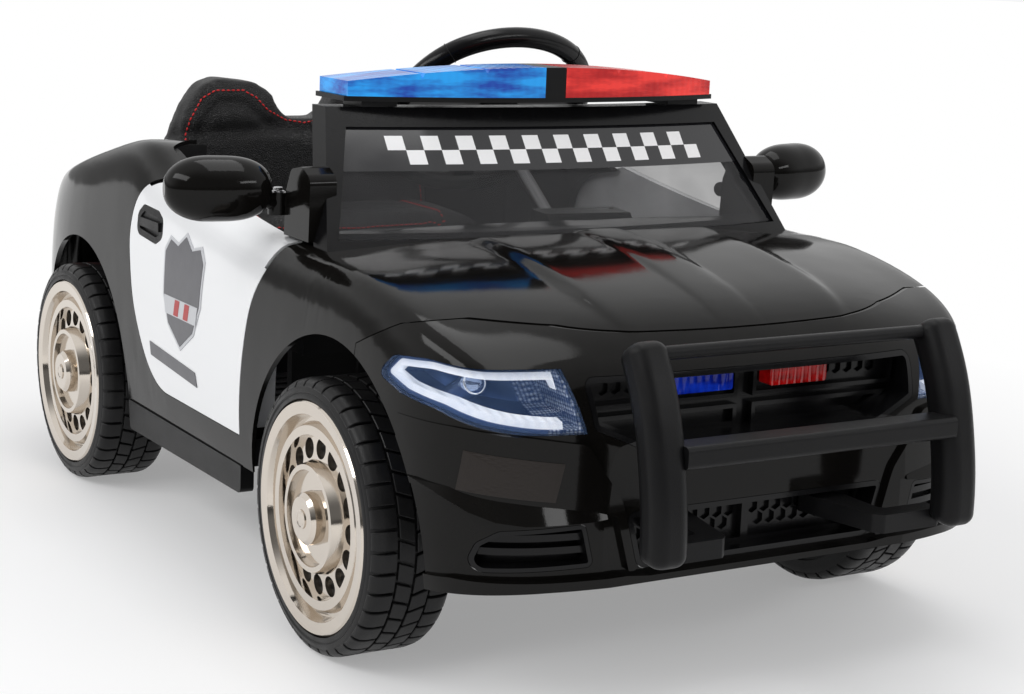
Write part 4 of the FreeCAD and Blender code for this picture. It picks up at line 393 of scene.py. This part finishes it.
blue_lens = lens_finish("blue_lens", (0.0, 0.045, 0.36), (0.01, 0.36, 0.88), 0.25, 0.05, 0.0001)
red_lens = lens_finish("red_lens", (0.42, 0.0, 0.002), (0.90, 0.04, 0.03), 0.25, 0.05, 0.0001)
dress(blue_lens, "light_bar_blue")
dress(red_lens, "light_bar_red")
# The grille and tail lamps carry the same painted highlights and painted glow.
deep_blue_lens = lens_finish("deep_blue_lens", (0.0, 0.004, 0.16), (0.004, 0.035, 0.48), 0.12)
deep_red_lens = lens_finish("deep_red_lens", (0.16, 0.0, 0.0), (0.48, 0.006, 0.006), 0.12)
dress(deep_blue_lens, "grille_lamp_blue")
dress(deep_red_lens, "grille_lamp_red")
tail_lens = lens_finish("tail_lens", (0.20, 0.0, 0.0), (0.65, 0.02, 0.01), 0.10)
dress(tail_lens, "tail_lamps")

# Headlights: a clear cover over a blue-tinted metallised bowl, a white light strip and a projector.
# The bowl is beaded on the side nearer the grille; each bead has a painted glint in its middle and
# painted shade at its edge.
BEADED_TO = 0.175
PLAIN_FROM = 0.178
BOWL_BLUE = (0.045, 0.085, 0.21)
cover_glass, tree, shader = blank_finish("clear_blue_cover")
haze = add_noise(tree, object_place(tree), 30.0, 3.0)
tree.links.new(add_mix(tree, haze, (0.10, 0.20, 0.45), (0.20, 0.32, 0.60)), shader.inputs["Base Color"])
tree.links.new(add_range(tree, haze, 0.3, 0.7, 0.06, 0.12), shader.inputs["Alpha"])
shader.inputs["Roughness"].default_value = 0.04
dress(cover_glass, "headlight_lenses")
bowl, tree, shader = blank_finish("metallised_bowl")
spot = object_place(tree)
beads = tree.nodes.new("ShaderNodeTexVoronoi")
beads.inputs["Scale"].default_value = 330.0
beads.inputs["Randomness"].default_value = 0.15
tree.links.new(spot, beads.inputs["Vector"])
aside = add_math(tree, "ABSOLUTE", add_axes(tree, spot)["Y"])
zone = add_range(tree, aside, BEADED_TO, PLAIN_FROM, 1.0, 0.0)
# painted glint and shade: pale in each bead's middle, dark at its edge
bead_edge = add_range(tree, beads.outputs["Distance"], 0.15, 0.6, 0.0, 1.0)
bead_glint_and_shade = add_mix(tree, bead_edge, (0.80, 0.88, 1.0), (0.05, 0.09, 0.22))
tree.links.new(add_mix(tree, zone, BOWL_BLUE, bead_glint_and_shade), shader.inputs["Base Color"])
tree.links.new(add_math(tree, "MULTIPLY_ADD", zone, -0.4, 0.9), shader.inputs["Metallic"])
shader.inputs["Roughness"].default_value = 0.30
add_relief(tree, add_math(tree, "MULTIPLY", beads.outputs["Distance"], zone), 0.002)
dress(bowl, "headlight_bowls")
# painted glow: the white strip's faint emission, though no lamp is lit in it
strip_light = lens_finish("white_light_strip", (0.80, 0.85, 0.93), (0.95, 0.97, 1.0), 0.30)
dress(strip_light, "headlight_strips")
eye_glass = handled_finish("projector_eye", (0.34, 0.42, 0.58), 0.0, 0.05, 0.02, 300.0, 0.0, metallic=0.9)
dress(eye_glass, "headlight_projectors")

# Door mirrors' panes: metallised sheet, let into the back of each housing. The housings are gloss
# black like the body.
pane_silver = handled_finish("mirror_silver", (0.86, 0.88, 0.90), 0.03, 0.03, 0.02, 300.0, 0.0, metallic=1.0)
dress(pane_silver, "mirror_glasses")

# Wheel covers: moulded plastic with a warm, satin bright plating that has gone a little cloudy.
# One is pressed into each wheel.
champagne = handled_finish("champagne_plating", (0.66, 0.60, 0.53), 0.05, 0.10, 0.08, 900.0, 0.04, 0.9,
                           metallic=1.0, bump=0.0005, dust_colour=(0.42, 0.39, 0.35))
dress(champagne, *["cover_" + wheel for wheel in WHEELS])

# Tyres: hollow blow-moulded treads in soft black plastic, pressed over the wheels. Smooth side
# walls roll over into notched shoulders; two rows of slanted blocks run round the middle.
TYRE_RADIUS = 0.106
BLOCKS = 40
BLOCK_SWEEP = math.radians(7.7)
CARCASS = [(0.0903, 0.0350), (0.0935, 0.0347), (0.0945, 0.0340), (0.0958, 0.0349), (0.0985, 0.0343),
           (0.1010, 0.0325), (0.1026, 0.0295), (0.1028, 0.0140), (0.1028, -0.0140), (0.1026, -0.0295),
           (0.1010, -0.0325), (0.0985, -0.0343), (0.0940, -0.0349), (0.0883, -0.0350), (0.0883, 0.0219),
           (0.0903, 0.0222)]
SHOULDER_BLOCK = [(0.1015, 0.0150), (0.1056, 0.0152), (0.1060, 0.0172), (0.1060, 0.0245), (0.1052, 0.0290),
                  (0.1032, 0.0323), (0.1000, 0.0341), (0.0980, 0.0330), (0.1000, 0.0300)]
MIDDLE_BLOCK = [(0.1015, 0.0010), (0.1058, 0.0010), (0.1058, 0.0135), (0.1015, 0.0135)]
MIDDLE_SLANT = 0.36


def work_on(*pieces):
    bpy.ops.object.select_all(action="DESELECT")
    for piece in pieces:
        piece.select_set(True)
    bpy.context.view_layer.objects.active = pieces[0]


def traced_outline(corners, filled):
    """A ring of points set on the given corners, as when a section is traced."""
    bpy.ops.object.select_all(action="DESELECT")
    bpy.ops.mesh.primitive_circle_add(vertices=len(corners), radius=0.01,
                                      fill_type="NGON" if filled else "NOTHING")
    piece = bpy.context.object
    for vertex, corner in zip(piece.data.vertices, corners):
        vertex.co = corner
    return piece


def spin_all(piece, steps, angle, axis=(0, 1, 0), copies=False):
    """Turns the whole outline about an axis, into one skin or into separate copies."""
    work_on(piece)
    bpy.ops.object.mode_set(mode="EDIT")
    bpy.ops.mesh.select_all(action="SELECT")
    bpy.ops.mesh.spin(steps=steps, dupli=copies, angle=angle, center=(0, 0, 0), axis=axis)
    bpy.ops.mesh.select_all(action="SELECT")
    bpy.ops.mesh.remove_doubles(threshold=0.00005)
    bpy.ops.mesh.normals_make_consistent(inside=False)
    bpy.ops.object.mode_set(mode="OBJECT")


def apply_modifier(piece, kind, **settings):
    work_on(piece)
    modifier = piece.modifiers.new("shaping", kind)
    for label, value in settings.items():
        setattr(modifier, label, value)
    bpy.ops.object.modifier_apply(modifier=modifier.name)


def soften(piece, width, segments, angle=40):
    apply_modifier(piece, "BEVEL", width=width, segments=segments, limit_method="ANGLE",
                   angle_limit=math.radians(angle))


def join(*pieces):
    work_on(*pieces)
    bpy.ops.object.join()
    return bpy.context.object


def smooth(piece, angle=30):
    work_on(piece)
    bpy.ops.object.shade_smooth_by_angle(angle=math.radians(angle))


def fit(piece, name, body, finish):
    """Names a finished piece, gives it its finish and fixes it to the body that carries it."""
    piece.name = name
    piece.data.name = name
    piece.data.materials.clear()
    piece.data.materials.append(finish)
    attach(piece, body)


def second(piece, matrix):
    """A copy of a piece with its own mesh, moved in the mesh."""
    twin = piece.copy()
    twin.data = piece.data.copy()
    bpy.context.scene.collection.objects.link(twin)
    twin.data.transform(matrix)
    return twin


def on_wheel(piece, node, wheel, to_face):
    """A copy of a piece that was made about the origin, set in the middle of a wheel's node or on
    its outer face, and turned to face away from the car."""
    low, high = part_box(node + wheel)
    across = (low.y + high.y) / 2
    if to_face:
        across = high.y if "left" in wheel else low.y
    middle = Vector(((low.x + high.x) / 2, across, TYRE_RADIUS))
    turn = Matrix.Rotation(0 if "left" in wheel else math.pi, 4, "Z")
    return second(piece, Matrix.Translation(middle) @ turn)


carcass = traced_outline([(0, y, r) for r, y in CARCASS], False)
spin_all(carcass, 96, 2 * math.pi)
rows = []
for side, shoulder_turn, middle_turn in ((1, 0.0, 2.0), (-1, 4.5, -2.5)):
    shoulder = traced_outline([(0, side * y, r) for r, y in SHOULDER_BLOCK], True)
    middle = traced_outline([(MIDDLE_SLANT * y, side * y, r) for r, y in MIDDLE_BLOCK], True)
    for block, turn in ((shoulder, shoulder_turn), (middle, middle_turn)):
        spin_all(block, 3, BLOCK_SWEEP)
        soften(block, 0.0005, 1)
        block.data.transform(Matrix.Rotation(math.radians(turn), 4, "Y"))
        spin_all(block, BLOCKS, 2 * math.pi, copies=True)
        rows.append(block)
tyre = join(carcass, *rows)
smooth(tyre)
rubber = handled_finish("tyre_black", (0.0075, 0.0075, 0.008), 0.10, 0.40, 0.16, 900.0, 0.4, 0.3,
                        dust_colour=(0.08, 0.077, 0.072), gloss=0.24)
for wheel in WHEELS:
    tread = on_wheel(tyre, "tyre_", wheel, to_face=False)
    fit(tread, "tread_" + wheel, "wheel_" + wheel, rubber)
    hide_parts("tyre_" + wheel)
bpy.data.objects.remove(tyre)

# Seat: a back with two head bumps and a cushion, foam under black leatherette. A red stitched seam
# follows the edge of each, and sewn channels divide the panels.
NET_SIZE = 0.005
PRESSURE = 4.0
SWELL_STEPS = 20
STITCH_PITCH = 0.0054
hide, tree, shader = blank_finish("black_leatherette")
shader.inputs["Specular IOR Level"].default_value = 0.36
spot = object_place(tree)
cells = tree.nodes.new("ShaderNodeTexVoronoi")
cells.feature = "DISTANCE_TO_EDGE"
cells.inputs["Scale"].default_value = 520.0
tree.links.new(spot, cells.inputs["Vector"])
pores = add_range(tree, cells.outputs["Distance"], 0.0, 0.25, 0.0, 1.0)
folds = add_noise(tree, spot, 22.0, 4.0, 0.6)
tree.links.new(add_mix(tree, folds, (0.007, 0.007, 0.0075), (0.018, 0.0175, 0.018)),
               shader.inputs["Base Color"])
tree.links.new(add_math(tree, "MULTIPLY_ADD", folds, 0.25, 0.30), shader.inputs["Roughness"])
add_relief(tree, add_math(tree, "MULTIPLY_ADD", folds, 1.6, pores), 0.0005)
thread = handled_finish("red_thread", (0.62, 0.010, 0.012), 0.03, 0.55, 0.1, 3000.0, 0.6)


def stuffed_pad(name, node, shrink, limit):
    """A pad that swells from the space of its CAD solid: cloth under pressure, held to a limit."""
    mesh = nodes[node].data.copy()
    mesh.materials.clear()
    pad = bpy.data.objects.new(name, mesh)
    bpy.context.scene.collection.objects.link(pad)
    low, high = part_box(node)
    middle = (low + high) / 2
    half = (high - low) / 2
    squeeze = Matrix.Diagonal((*((reach - shrink) / reach for reach in half), 1))
    mesh.transform(Matrix.Translation(middle) @ squeeze @ Matrix.Translation(-middle))
    work_on(pad)
    bpy.ops.object.mode_set(mode="EDIT")
    bpy.ops.mesh.select_all(action="SELECT")
    bpy.ops.mesh.remove_doubles(threshold=0.0001)
    bpy.ops.object.mode_set(mode="OBJECT")
    apply_modifier(pad, "REMESH", mode="VOXEL", voxel_size=NET_SIZE)
    flat = [v.co.copy() for v in pad.data.vertices]
    cloth = pad.modifiers.new("stuffing", "CLOTH")
    cloth.settings.use_pressure = True
    cloth.settings.uniform_pressure_force = PRESSURE
    cloth.settings.effector_weights.gravity = 0.0
    for step in range(1, SWELL_STEPS + 1):
        bpy.context.scene.frame_set(step)
    bpy.ops.object.modifier_apply(modifier=cloth.name)
    for vertex, start in zip(pad.data.vertices, flat):
        moved = vertex.co - start
        if moved.length > limit:
            vertex.co = start + moved.normalized() * limit
    bpy.context.scene.frame_set(1)
    return pad


def sew(pad, depth, width, gap):
    """Draws the cover in along a seam; gap gives a point's distance from it."""
    pulls = []
    for vertex in pad.data.vertices:
        pulls.append(vertex.normal * depth * math.exp(-(gap(vertex.co) / width) ** 2))
    for vertex, pull in zip(pad.data.vertices, pulls):
        vertex.co -= pull


def finish_pad(pad, floor_z=None):
    """Rounds a sewn pad; floor_z is the height of what it rests on."""
    apply_modifier(pad, "SUBSURF", levels=1, render_levels=1)
    if floor_z is not None:
        for vertex in pad.data.vertices:
            vertex.co.z = max(vertex.co.z, floor_z)
    bpy.ops.object.shade_smooth()


def stitch_line(name, pad, path, towards):
    """Short thread stitches along a path that is laid on the pad."""
    bpy.ops.object.select_all(action="DESELECT")
    bpy.ops.mesh.primitive_uv_sphere_add(segments=8, ring_count=5, radius=0.0009)
    loop = bpy.context.object
    loop.data.transform(Matrix.Diagonal((2.4, 1.0, 0.9, 1)))
    stitches = []
    spare = 0.0
    for start, end in zip(path[:-1], path[1:]):
        run = (end - start).length
        along = spare
        while along < run:
            aim = start + (end - start) * (along / run)
            found, place, normal, _ = pad.ray_cast(aim + towards * 0.2, -towards)
            if found:
                way = (end - start).normalized()
                side = normal.cross(way).normalized()
                way = side.cross(normal)
                turn = Matrix((way, side, normal)).transposed().to_4x4()
                stitches.append(second(loop, Matrix.Translation(place) @ turn))
            along += STITCH_PITCH
        spare = along - run
    bpy.data.objects.remove(loop)
    line = join(*stitches)
    smooth(line, 60)
    fit(line, name, "chassis", thread)


def line_gap(corners, y, z):
    """How far a point lies from a line of corners, seen from the front."""
    spot = Vector((y, z))
    gaps = []
    for start, end in zip(corners[:-1], corners[1:]):
        foot, share = intersect_point_line(spot, Vector(start), Vector(end))
        foot = Vector(start).lerp(Vector(end), min(max(share, 0.0), 1.0))
        gaps.append((spot - foot).length)
    return min(gaps)


# The back: one channel bows across it under the head bumps, and one follows the panels' edge.
# Only the front face is sewn; a gap of a metre leaves the rest as it is.
BACK_FACE_X = -0.366
CHANNEL_Z = 0.339
CHANNEL_BOW = 0.25
CHANNEL_HALF = 0.15
UNSEWN = 1.0
PANEL_EDGE = [(0.127, 0.220), (0.127, 0.300), (0.118, 0.338), (0.107, 0.358), (0.096, 0.366),
              (0.074, 0.366), (0.062, 0.360), (0.050, 0.348), (0.036, 0.340)]
SEAT_SEAM_X = -0.342
SEAT_SEAM = [(0.138, 0.226), (0.138, 0.306), (0.128, 0.348), (0.115, 0.370), (0.101, 0.378),
             (0.071, 0.378), (0.057, 0.371), (0.044, 0.358), (0.021, 0.347), (0.0, 0.344)]


def channel_gap(p):
    drop = CHANNEL_BOW * min(abs(p.y), CHANNEL_HALF) ** 2
    return abs(p.z - CHANNEL_Z + drop) if p.x > BACK_FACE_X else UNSEWN


def panel_gap(p):
    return line_gap(PANEL_EDGE, abs(p.y), p.z) if p.x > BACK_FACE_X else UNSEWN


seat_back = stuffed_pad("seat_back_pad", "seat_back", 0.005, 0.009)
sew(seat_back, 0.0045, 0.006, channel_gap)
sew(seat_back, 0.0035, 0.0045, panel_gap)
finish_pad(seat_back)
fit(seat_back, "seat_back_pad", "chassis", hide)
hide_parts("seat_back")
seam_path = [Vector((SEAT_SEAM_X, y, z)) for y, z in SEAT_SEAM]
seam_path += [Vector((p.x, -p.y, p.z)) for p in reversed(seam_path[:-1])]
stitch_line("seat_back_stitches", seat_back, seam_path, Vector((1, 0, 0)))

# The cushion: two channels run fore and aft, and a third joins them. It is flat where it rests on
# the plinth.
CUSHION_TOP = 0.24
CHANNEL_Y = 0.095
CHANNEL_X = -0.262
CUSHION_SEAM = [(-0.330, -0.100), (-0.222, -0.100), (-0.222, 0.100), (-0.330, 0.100)]


def side_gap(p):
    return abs(abs(p.y) - CHANNEL_Y) if p.z > CUSHION_TOP else UNSEWN


def cross_gap(p):
    return abs(p.x - CHANNEL_X) if p.z > CUSHION_TOP and abs(p.y) < CHANNEL_Y else UNSEWN


cushion = stuffed_pad("seat_cushion_pad", "seat_cushion", 0.004, 0.008)
sew(cushion, 0.004, 0.005, side_gap)
sew(cushion, 0.003, 0.005, cross_gap)
low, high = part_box("seat_cushion")
finish_pad(cushion, low.z + 0.0005)
fit(cushion, "seat_cushion_pad", "chassis", hide)
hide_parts("seat_cushion")
cushion_path = [Vector((x, y, high.z)) for x, y in CUSHION_SEAM]
stitch_line("seat_cushion_stitches", cushion, cushion_path, Vector((0, 0, 1)))

# Door prints: a plain shield in grey and white with a band and two red bars, and a plain grey strip
# below it. All are thin sheets, laid over each other and stuck on the door.
DOOR_WALL = 0.27
SHIELD = [(-0.088, 0.262), (-0.078, 0.274), (-0.060, 0.270), (-0.0435, 0.281), (-0.027, 0.270),
          (-0.009, 0.274), (0.001, 0.262), (-0.001, 0.222), (-0.014, 0.196), (-0.0435, 0.178),
          (-0.073, 0.196), (-0.086, 0.222)]
SHIELD_MIDDLE = (-0.0435, 0.228)
FIELD_SHARE = 0.93
BAND = [(-0.078, 0.206), (-0.081, 0.222), (-0.006, 0.222), (-0.009, 0.206)]
BAR = [(0.0, 0.207), (0.010, 0.207), (0.013, 0.221), (0.003, 0.221)]
STRIP = [(-0.114, 0.161), (-0.117, 0.173), (-0.010, 0.165), (-0.005, 0.153)]


def decal(corners, plane, target, name, finish, lift, wall, body):
    """A thin sheet that is cut to an outline and pressed onto a CAD piece."""
    piece = traced_outline(corners, True)
    bpy.ops.object.mode_set(mode="EDIT")
    bpy.ops.mesh.select_all(action="SELECT")
    bpy.ops.mesh.poke()
    bpy.ops.mesh.subdivide(number_cuts=7)
    bpy.ops.object.mode_set(mode="OBJECT")
    apply_modifier(piece, "SHRINKWRAP", target=nodes[target], wrap_method="PROJECT",
                   use_project_x=plane == "X", use_project_y=plane == "Y",
                   use_positive_direction=True, use_negative_direction=True, offset=lift)
    apply_modifier(piece, "SOLIDIFY", thickness=wall, offset=0)
    bpy.ops.object.mode_set(mode="EDIT")
    bpy.ops.mesh.select_all(action="SELECT")
    bpy.ops.mesh.normals_make_consistent(inside=False)
    bpy.ops.object.mode_set(mode="OBJECT")
    fit(piece, name, body, finish)


def around_middle(points, share):
    """An outline drawn in towards the shield's middle."""
    a, b = SHIELD_MIDDLE
    return [(a + (x - a) * share, b + (z - b) * share) for x, z in points]


grey_print = handled_finish("grey_print", (0.10, 0.10, 0.11), 0.05, 0.35, 0.1, 900.0, 0.1)
pale_print = handled_finish("pale_print", (0.55, 0.56, 0.58), 0.05, 0.35, 0.1, 900.0, 0.1)
red_print = handled_finish("red_print", (0.42, 0.02, 0.02), 0.05, 0.35, 0.1, 900.0, 0.1)
DOOR_PRINTS = [
    ("shield_rim_{}", SHIELD, "white_gloss", pale_print, 0.0004, 0.0006),
    ("shield_field_{}", around_middle(SHIELD, FIELD_SHARE), "black_satin", grey_print, 0.0008, 0.0006),
    ("shield_band_{}", BAND, "white_gloss", pale_print, 0.0012, 0.0005),
    ("shield_bar_{}_58", [(x - 0.058, z) for x, z in BAR], "red_lens", red_print, 0.0015, 0.0005),
    ("shield_bar_{}_36", [(x - 0.036, z) for x, z in BAR], "red_lens", red_print, 0.0015, 0.0005),
    ("door_strip_{}", STRIP, "black_satin", grey_print, 0.0004, 0.0005),
]
for side, word in ((-1, "right"), (1, "left")):
    door = "door_" + word
    for name, outline, slot, finish, lift, wall in DOOR_PRINTS:
        decal([(x, side * DOOR_WALL, z) for x, z in outline], "Y", door, name.format(word), finish,
              lift, wall, door)

# Corner plate: a plain dark printed sheet, bent round the bumper's right-hand corner and stuck on
# above the vent.
PLATE = [(-0.2352, 0.167), (-0.2316, 0.195), (-0.1695, 0.187), (-0.1758, 0.160)]
BEFORE_NOSE = 0.5
plate_print = handled_finish("plate_print", (0.022, 0.018, 0.016), 0.03, 0.38, 0.1, 900.0, 0.1, gloss=0.2)
decal([(BEFORE_NOSE, y, z) for y, z in PLATE], "X", "front_fascia", "corner_plate",
      plate_print, 0.0005, 0.0006, "chassis")

# Steering wheel: the moulded rim and hub are the CAD node. Sewn joints divide the rim's cover, and
# a domed horn pad and two round buttons are pressed into the hub and spokes.
WHEEL_MIDDLE = Vector((-0.115, 0.084, 0.376))
WHEEL_AIM = Vector((-0.81325, 0, 0.58191))
WHEEL_TOP = Vector((WHEEL_AIM.z, 0, -WHEEL_AIM.x))
RIM_HALF_WIDTH = 0.100
RIM_HALF_HEIGHT = 0.089
RIM_JOINTS = [(0.955, 0.33, 18), (0.955, -0.33, -18), (-0.955, 0.33, 162), (-0.955, -0.33, 198),
              (0.66, 0.80, 47), (-0.66, 0.80, 133)]
HORN_PAD = [(0.0, 0.0095), (0.0255, 0.0095), (0.0255, 0.0108), (0.0225, 0.0135), (0.0120, 0.0148),
            (0.0, 0.0150)]
BUTTON = [(0.0, 0.0030), (0.0060, 0.0030), (0.0060, 0.0062), (0.0050, 0.0072), (0.0, 0.0074)]
BUTTON_ASIDE = 0.046


def stand_at(place, top, aim):
    """How a fitting that was made lying down stands: where, which way up and facing which way."""
    return Matrix.Translation(place) @ Matrix((Vector((0, -1, 0)), top, aim)).transposed().to_4x4()


def turned(profile, steps):
    """A piece turned from its radii and heights."""
    piece = traced_outline([(r, 0, h) for r, h in profile], False)
    spin_all(piece, steps, 2 * math.pi, axis=(0, 0, 1))
    smooth(piece)
    return piece


wheel_stand = stand_at(WHEEL_MIDDLE, WHEEL_TOP, WHEEL_AIM)
horn = turned(HORN_PAD, 48)
horn.data.transform(wheel_stand)
fit(horn, "horn_pad", "steering", frame_satin)
button = turned(BUTTON, 24)
for across, word, slot, finish in ((-BUTTON_ASIDE, "left", "red_lens", red_print),
                                   (BUTTON_ASIDE, "right", "black_satin", grey_print)):
    copy = second(button, wheel_stand @ Matrix.Translation((across, 0, 0)))
    fit(copy, f"wheel_button_{word}", "steering", finish)
bpy.data.objects.remove(button)
for index, (a, b, heading) in enumerate(RIM_JOINTS):
    bpy.ops.object.select_all(action="DESELECT")
    bpy.ops.mesh.primitive_torus_add(major_segments=32, minor_segments=8, major_radius=0.0096,
                                     minor_radius=0.0006)
    seam = bpy.context.object
    seam.data.transform(Matrix.Rotation(math.pi / 2, 4, "X"))
    seam.data.transform(wheel_stand @ Matrix.Translation((a * RIM_HALF_WIDTH, b * RIM_HALF_HEIGHT, 0))
                        @ Matrix.Rotation(math.radians(heading), 4, "Z"))
    bpy.ops.object.shade_smooth()
    fit(seam, f"rim_joint_{index}", "steering", satin)

# Dials: two round instruments in the pod before the driver, each a pale face in a raised ring, with
# a red needle.
POD_PLACE = (0.0475, 0.084, 0.286)
POD_AIM = Vector((-0.987, 0, 0.16))
POD_TOP = Vector((0.16, 0, 0.987))
DIAL_ASIDE = 0.018
DIAL = [(0.0, 0.0), (0.0150, 0.0), (0.0150, 0.0030), (0.0140, 0.0036), (0.0130, 0.0030),
        (0.0130, 0.0012), (0.0, 0.0012)]
NEEDLE = [(-0.0008, -0.002, 0.0016), (0.0008, -0.002, 0.0016), (0.0003, 0.011, 0.0016),
          (-0.0003, 0.011, 0.0016)]
NEEDLE_TURN = math.radians(50)
dial_face, tree, shader = blank_finish("dial_face")
speckle = add_noise(tree, object_place(tree), 240.0, 2.0)
tree.links.new(add_mix(tree, speckle, (0.60, 0.60, 0.58), (0.72, 0.72, 0.70)), shader.inputs["Base Color"])
shader.inputs["Roughness"].default_value = 0.3
dial = turned(DIAL, 48)
for across, word in ((DIAL_ASIDE, "left"), (-DIAL_ASIDE, "right")):
    middle = Vector((POD_PLACE[0], POD_PLACE[1] + across, POD_PLACE[2]))
    stand = stand_at(middle, POD_TOP, POD_AIM)
    fit(second(dial, stand), f"dial_{word}", "chassis", dial_face)
    needle = traced_outline(NEEDLE, True)
    apply_modifier(needle, "SOLIDIFY", thickness=0.0006)
    needle.data.transform(stand @ Matrix.Rotation(NEEDLE_TURN, 4, "Z"))
    fit(needle, f"dial_needle_{word}", "chassis", red_print)
bpy.data.objects.remove(dial)

# Radio: a moulded box on the slanted face in the middle of the dash, with a dark display, a row of
# keys and two knobs.
RADIO_MIDDLE = Vector((0.0625, 0.0, 0.2765))
RADIO_AIM = Vector((-0.888, 0, 0.458))
RADIO_TOP = Vector((0.458, 0, 0.888))
KEYS = 5
KEYS_FROM = -0.024
KEY_WIDTH = 0.008
KEY_PITCH = 0.010
KNOB = [(0.0, 0.0030), (0.0062, 0.0030), (0.0060, 0.0085), (0.0052, 0.0095), (0.0, 0.0095)]
KNOB_ASIDE = 0.039
radio_stand = stand_at(RADIO_MIDDLE, RADIO_TOP, RADIO_AIM)


def moulded_block(name, low, high, edge, stand, finish):
    """A small moulded part on the chassis: a block drawn in at its top, with softened edges."""
    bpy.ops.object.select_all(action="DESELECT")
    bpy.ops.mesh.primitive_cube_add(size=1, location=[(a + b) / 2 for a, b in zip(low, high)])
    block = bpy.context.object
    block.scale = [b - a for a, b in zip(low, high)]
    bpy.ops.object.transform_apply(location=True, rotation=True, scale=True)
    bpy.ops.object.mode_set(mode="EDIT")
    bpy.ops.mesh.select_all(action="DESELECT")
    bpy.ops.object.mode_set(mode="OBJECT")
    for face in block.data.polygons:
        face.select = face.normal.z > 0.9
    bpy.ops.object.mode_set(mode="EDIT")
    bpy.ops.mesh.inset(thickness=edge, depth=0)
    bpy.ops.mesh.extrude_region_move(TRANSFORM_OT_translate={"value": (0, 0, edge * 0.6)})
    bpy.ops.object.mode_set(mode="OBJECT")
    soften(block, edge * 0.4, 2, 20)
    smooth(block)
    block.data.transform(stand)
    fit(block, name, "chassis", finish)


moulded_block("radio_body", (-0.052, -0.0135, -0.001), (0.052, 0.0135, 0.003), 0.0012, radio_stand,
              frame_satin)
moulded_block("radio_display", (-0.024, -0.001, 0.003), (0.024, 0.009, 0.0042), 0.0006, radio_stand,
              grey_print)
for index in range(KEYS):
    left = KEYS_FROM + index * KEY_PITCH
    moulded_block(f"radio_key_{index}", (left, -0.010, 0.003), (left + KEY_WIDTH, -0.0045, 0.0048), 0.0006,
                  radio_stand, grey_moulding)
knob = turned(KNOB, 18)
for across, word in ((-KNOB_ASIDE, "left"), (KNOB_ASIDE, "right")):
    fit(second(knob, radio_stand @ Matrix.Translation((across, 0, 0))), f"radio_knob_{word}", "chassis",
        grey_moulding)
bpy.data.objects.remove(knob)

# Foot pedal and floor ribs: a ribbed pedal on the footwell's floor and grip ribs that are moulded
# into the tub round it.
FLOOR_Z = 0.114
PEDAL_RIBS = 4
PEDAL_RIBS_FROM = 0.010
PEDAL_RIB_PITCH = 0.010
FLOOR_RIBS = 8
FLOOR_RIBS_FROM = -0.180
FLOOR_RIB_PITCH = 0.022
floor_stand = Matrix.Translation((0, 0, FLOOR_Z))
moulded_block("pedal_base", (0.005, 0.010, 0.0002), (0.050, 0.058, 0.010), 0.003, floor_stand,
              grey_moulding)
for index in range(PEDAL_RIBS):
    x = PEDAL_RIBS_FROM + index * PEDAL_RIB_PITCH
    moulded_block(f"pedal_rib_{index}", (x, 0.016, 0.010), (x + 0.005, 0.052, 0.0135), 0.001, floor_stand,
                  satin)
for index in range(FLOOR_RIBS):
    x = FLOOR_RIBS_FROM + index * FLOOR_RIB_PITCH
    for low_y, high_y, word in ((-0.190, -0.020, "right"), (0.105, 0.190, "left")):
        moulded_block(f"floor_rib_{word}_{index}", (x, low_y, 0.0002), (x + 0.006, high_y, 0.002), 0.001,
                      floor_stand, satin)

# Headlight rings: a bright bezel round each projector's eye, pressed into the bowl and tipped up
# with the lamp's slope.
EYE_PLACE = (0.386, 0.212, 0.235)
EYE_AIM = math.radians(70)
for side, word in ((-1, "right"), (1, "left")):
    bpy.ops.object.select_all(action="DESELECT")
    bpy.ops.mesh.primitive_torus_add(major_segments=40, minor_segments=10, major_radius=0.0081,
                                     minor_radius=0.0010, location=(0, 0, 0.0040))
    bezel = bpy.context.object
    bpy.ops.object.transform_apply(location=True, rotation=True, scale=True)
    bezel.data.transform(Matrix.Translation((EYE_PLACE[0], side * EYE_PLACE[1], EYE_PLACE[2]))
                         @ Matrix.Rotation(EYE_AIM, 4, "Y"))
    bpy.ops.object.shade_smooth()
    fit(bezel, "headlight_ring_" + word, "chassis", pane_silver)

# Bolts: plated hexagon heads on washers. Two hold the bull bar's feet from below, and two hold the
# mirrors' pivots from above.
WASHER = [(0.0, 0.0), (0.0052, 0.0), (0.0052, 0.0010), (0.0, 0.0010)]
UPRIGHT = Matrix.Identity(4)
HANGING = Matrix.Rotation(math.pi, 4, "X")
BOLTS = [("foot_left", (0.478, 0.090, 0.124), HANGING), ("foot_right", (0.478, -0.090, 0.124), HANGING),
         ("pivot_left", (0.094, 0.229, 0.333), UPRIGHT), ("pivot_right", (0.094, -0.229, 0.333), UPRIGHT)]
bpy.ops.object.select_all(action="DESELECT")
bpy.ops.mesh.primitive_cylinder_add(vertices=6, radius=0.0042, depth=0.0030, location=(0, 0, 0.0025))
hexagon = bpy.context.object
bpy.ops.object.transform_apply(location=True, rotation=True, scale=True)
soften(hexagon, 0.0005, 2, 30)
bolt = join(hexagon, turned(WASHER, 32))
smooth(bolt)
for name, place, turn in BOLTS:
    fit(second(bolt, Matrix.Translation(place) @ turn), "bolt_" + name, "chassis", bright_steel)
bpy.data.objects.remove(bolt)

# Wheel caps: a turned button in the middle of each cover, over the axle's nut, plated like the
# cover.
CAP_BUTTON = [(0.0, 0.0), (0.0075, 0.0), (0.0075, 0.0008), (0.0060, 0.0012), (0.0050, 0.0008),
              (0.0030, 0.0012), (0.0, 0.0014)]
cap = traced_outline([(r, h, 0) for r, h in CAP_BUTTON], False)
spin_all(cap, 40, 2 * math.pi)
smooth(cap)
for wheel in WHEELS:
    fit(on_wheel(cap, "cover_", wheel, to_face=True), "cap_button_" + wheel, "wheel_" + wheel,
        champagne)
bpy.data.objects.remove(cap)
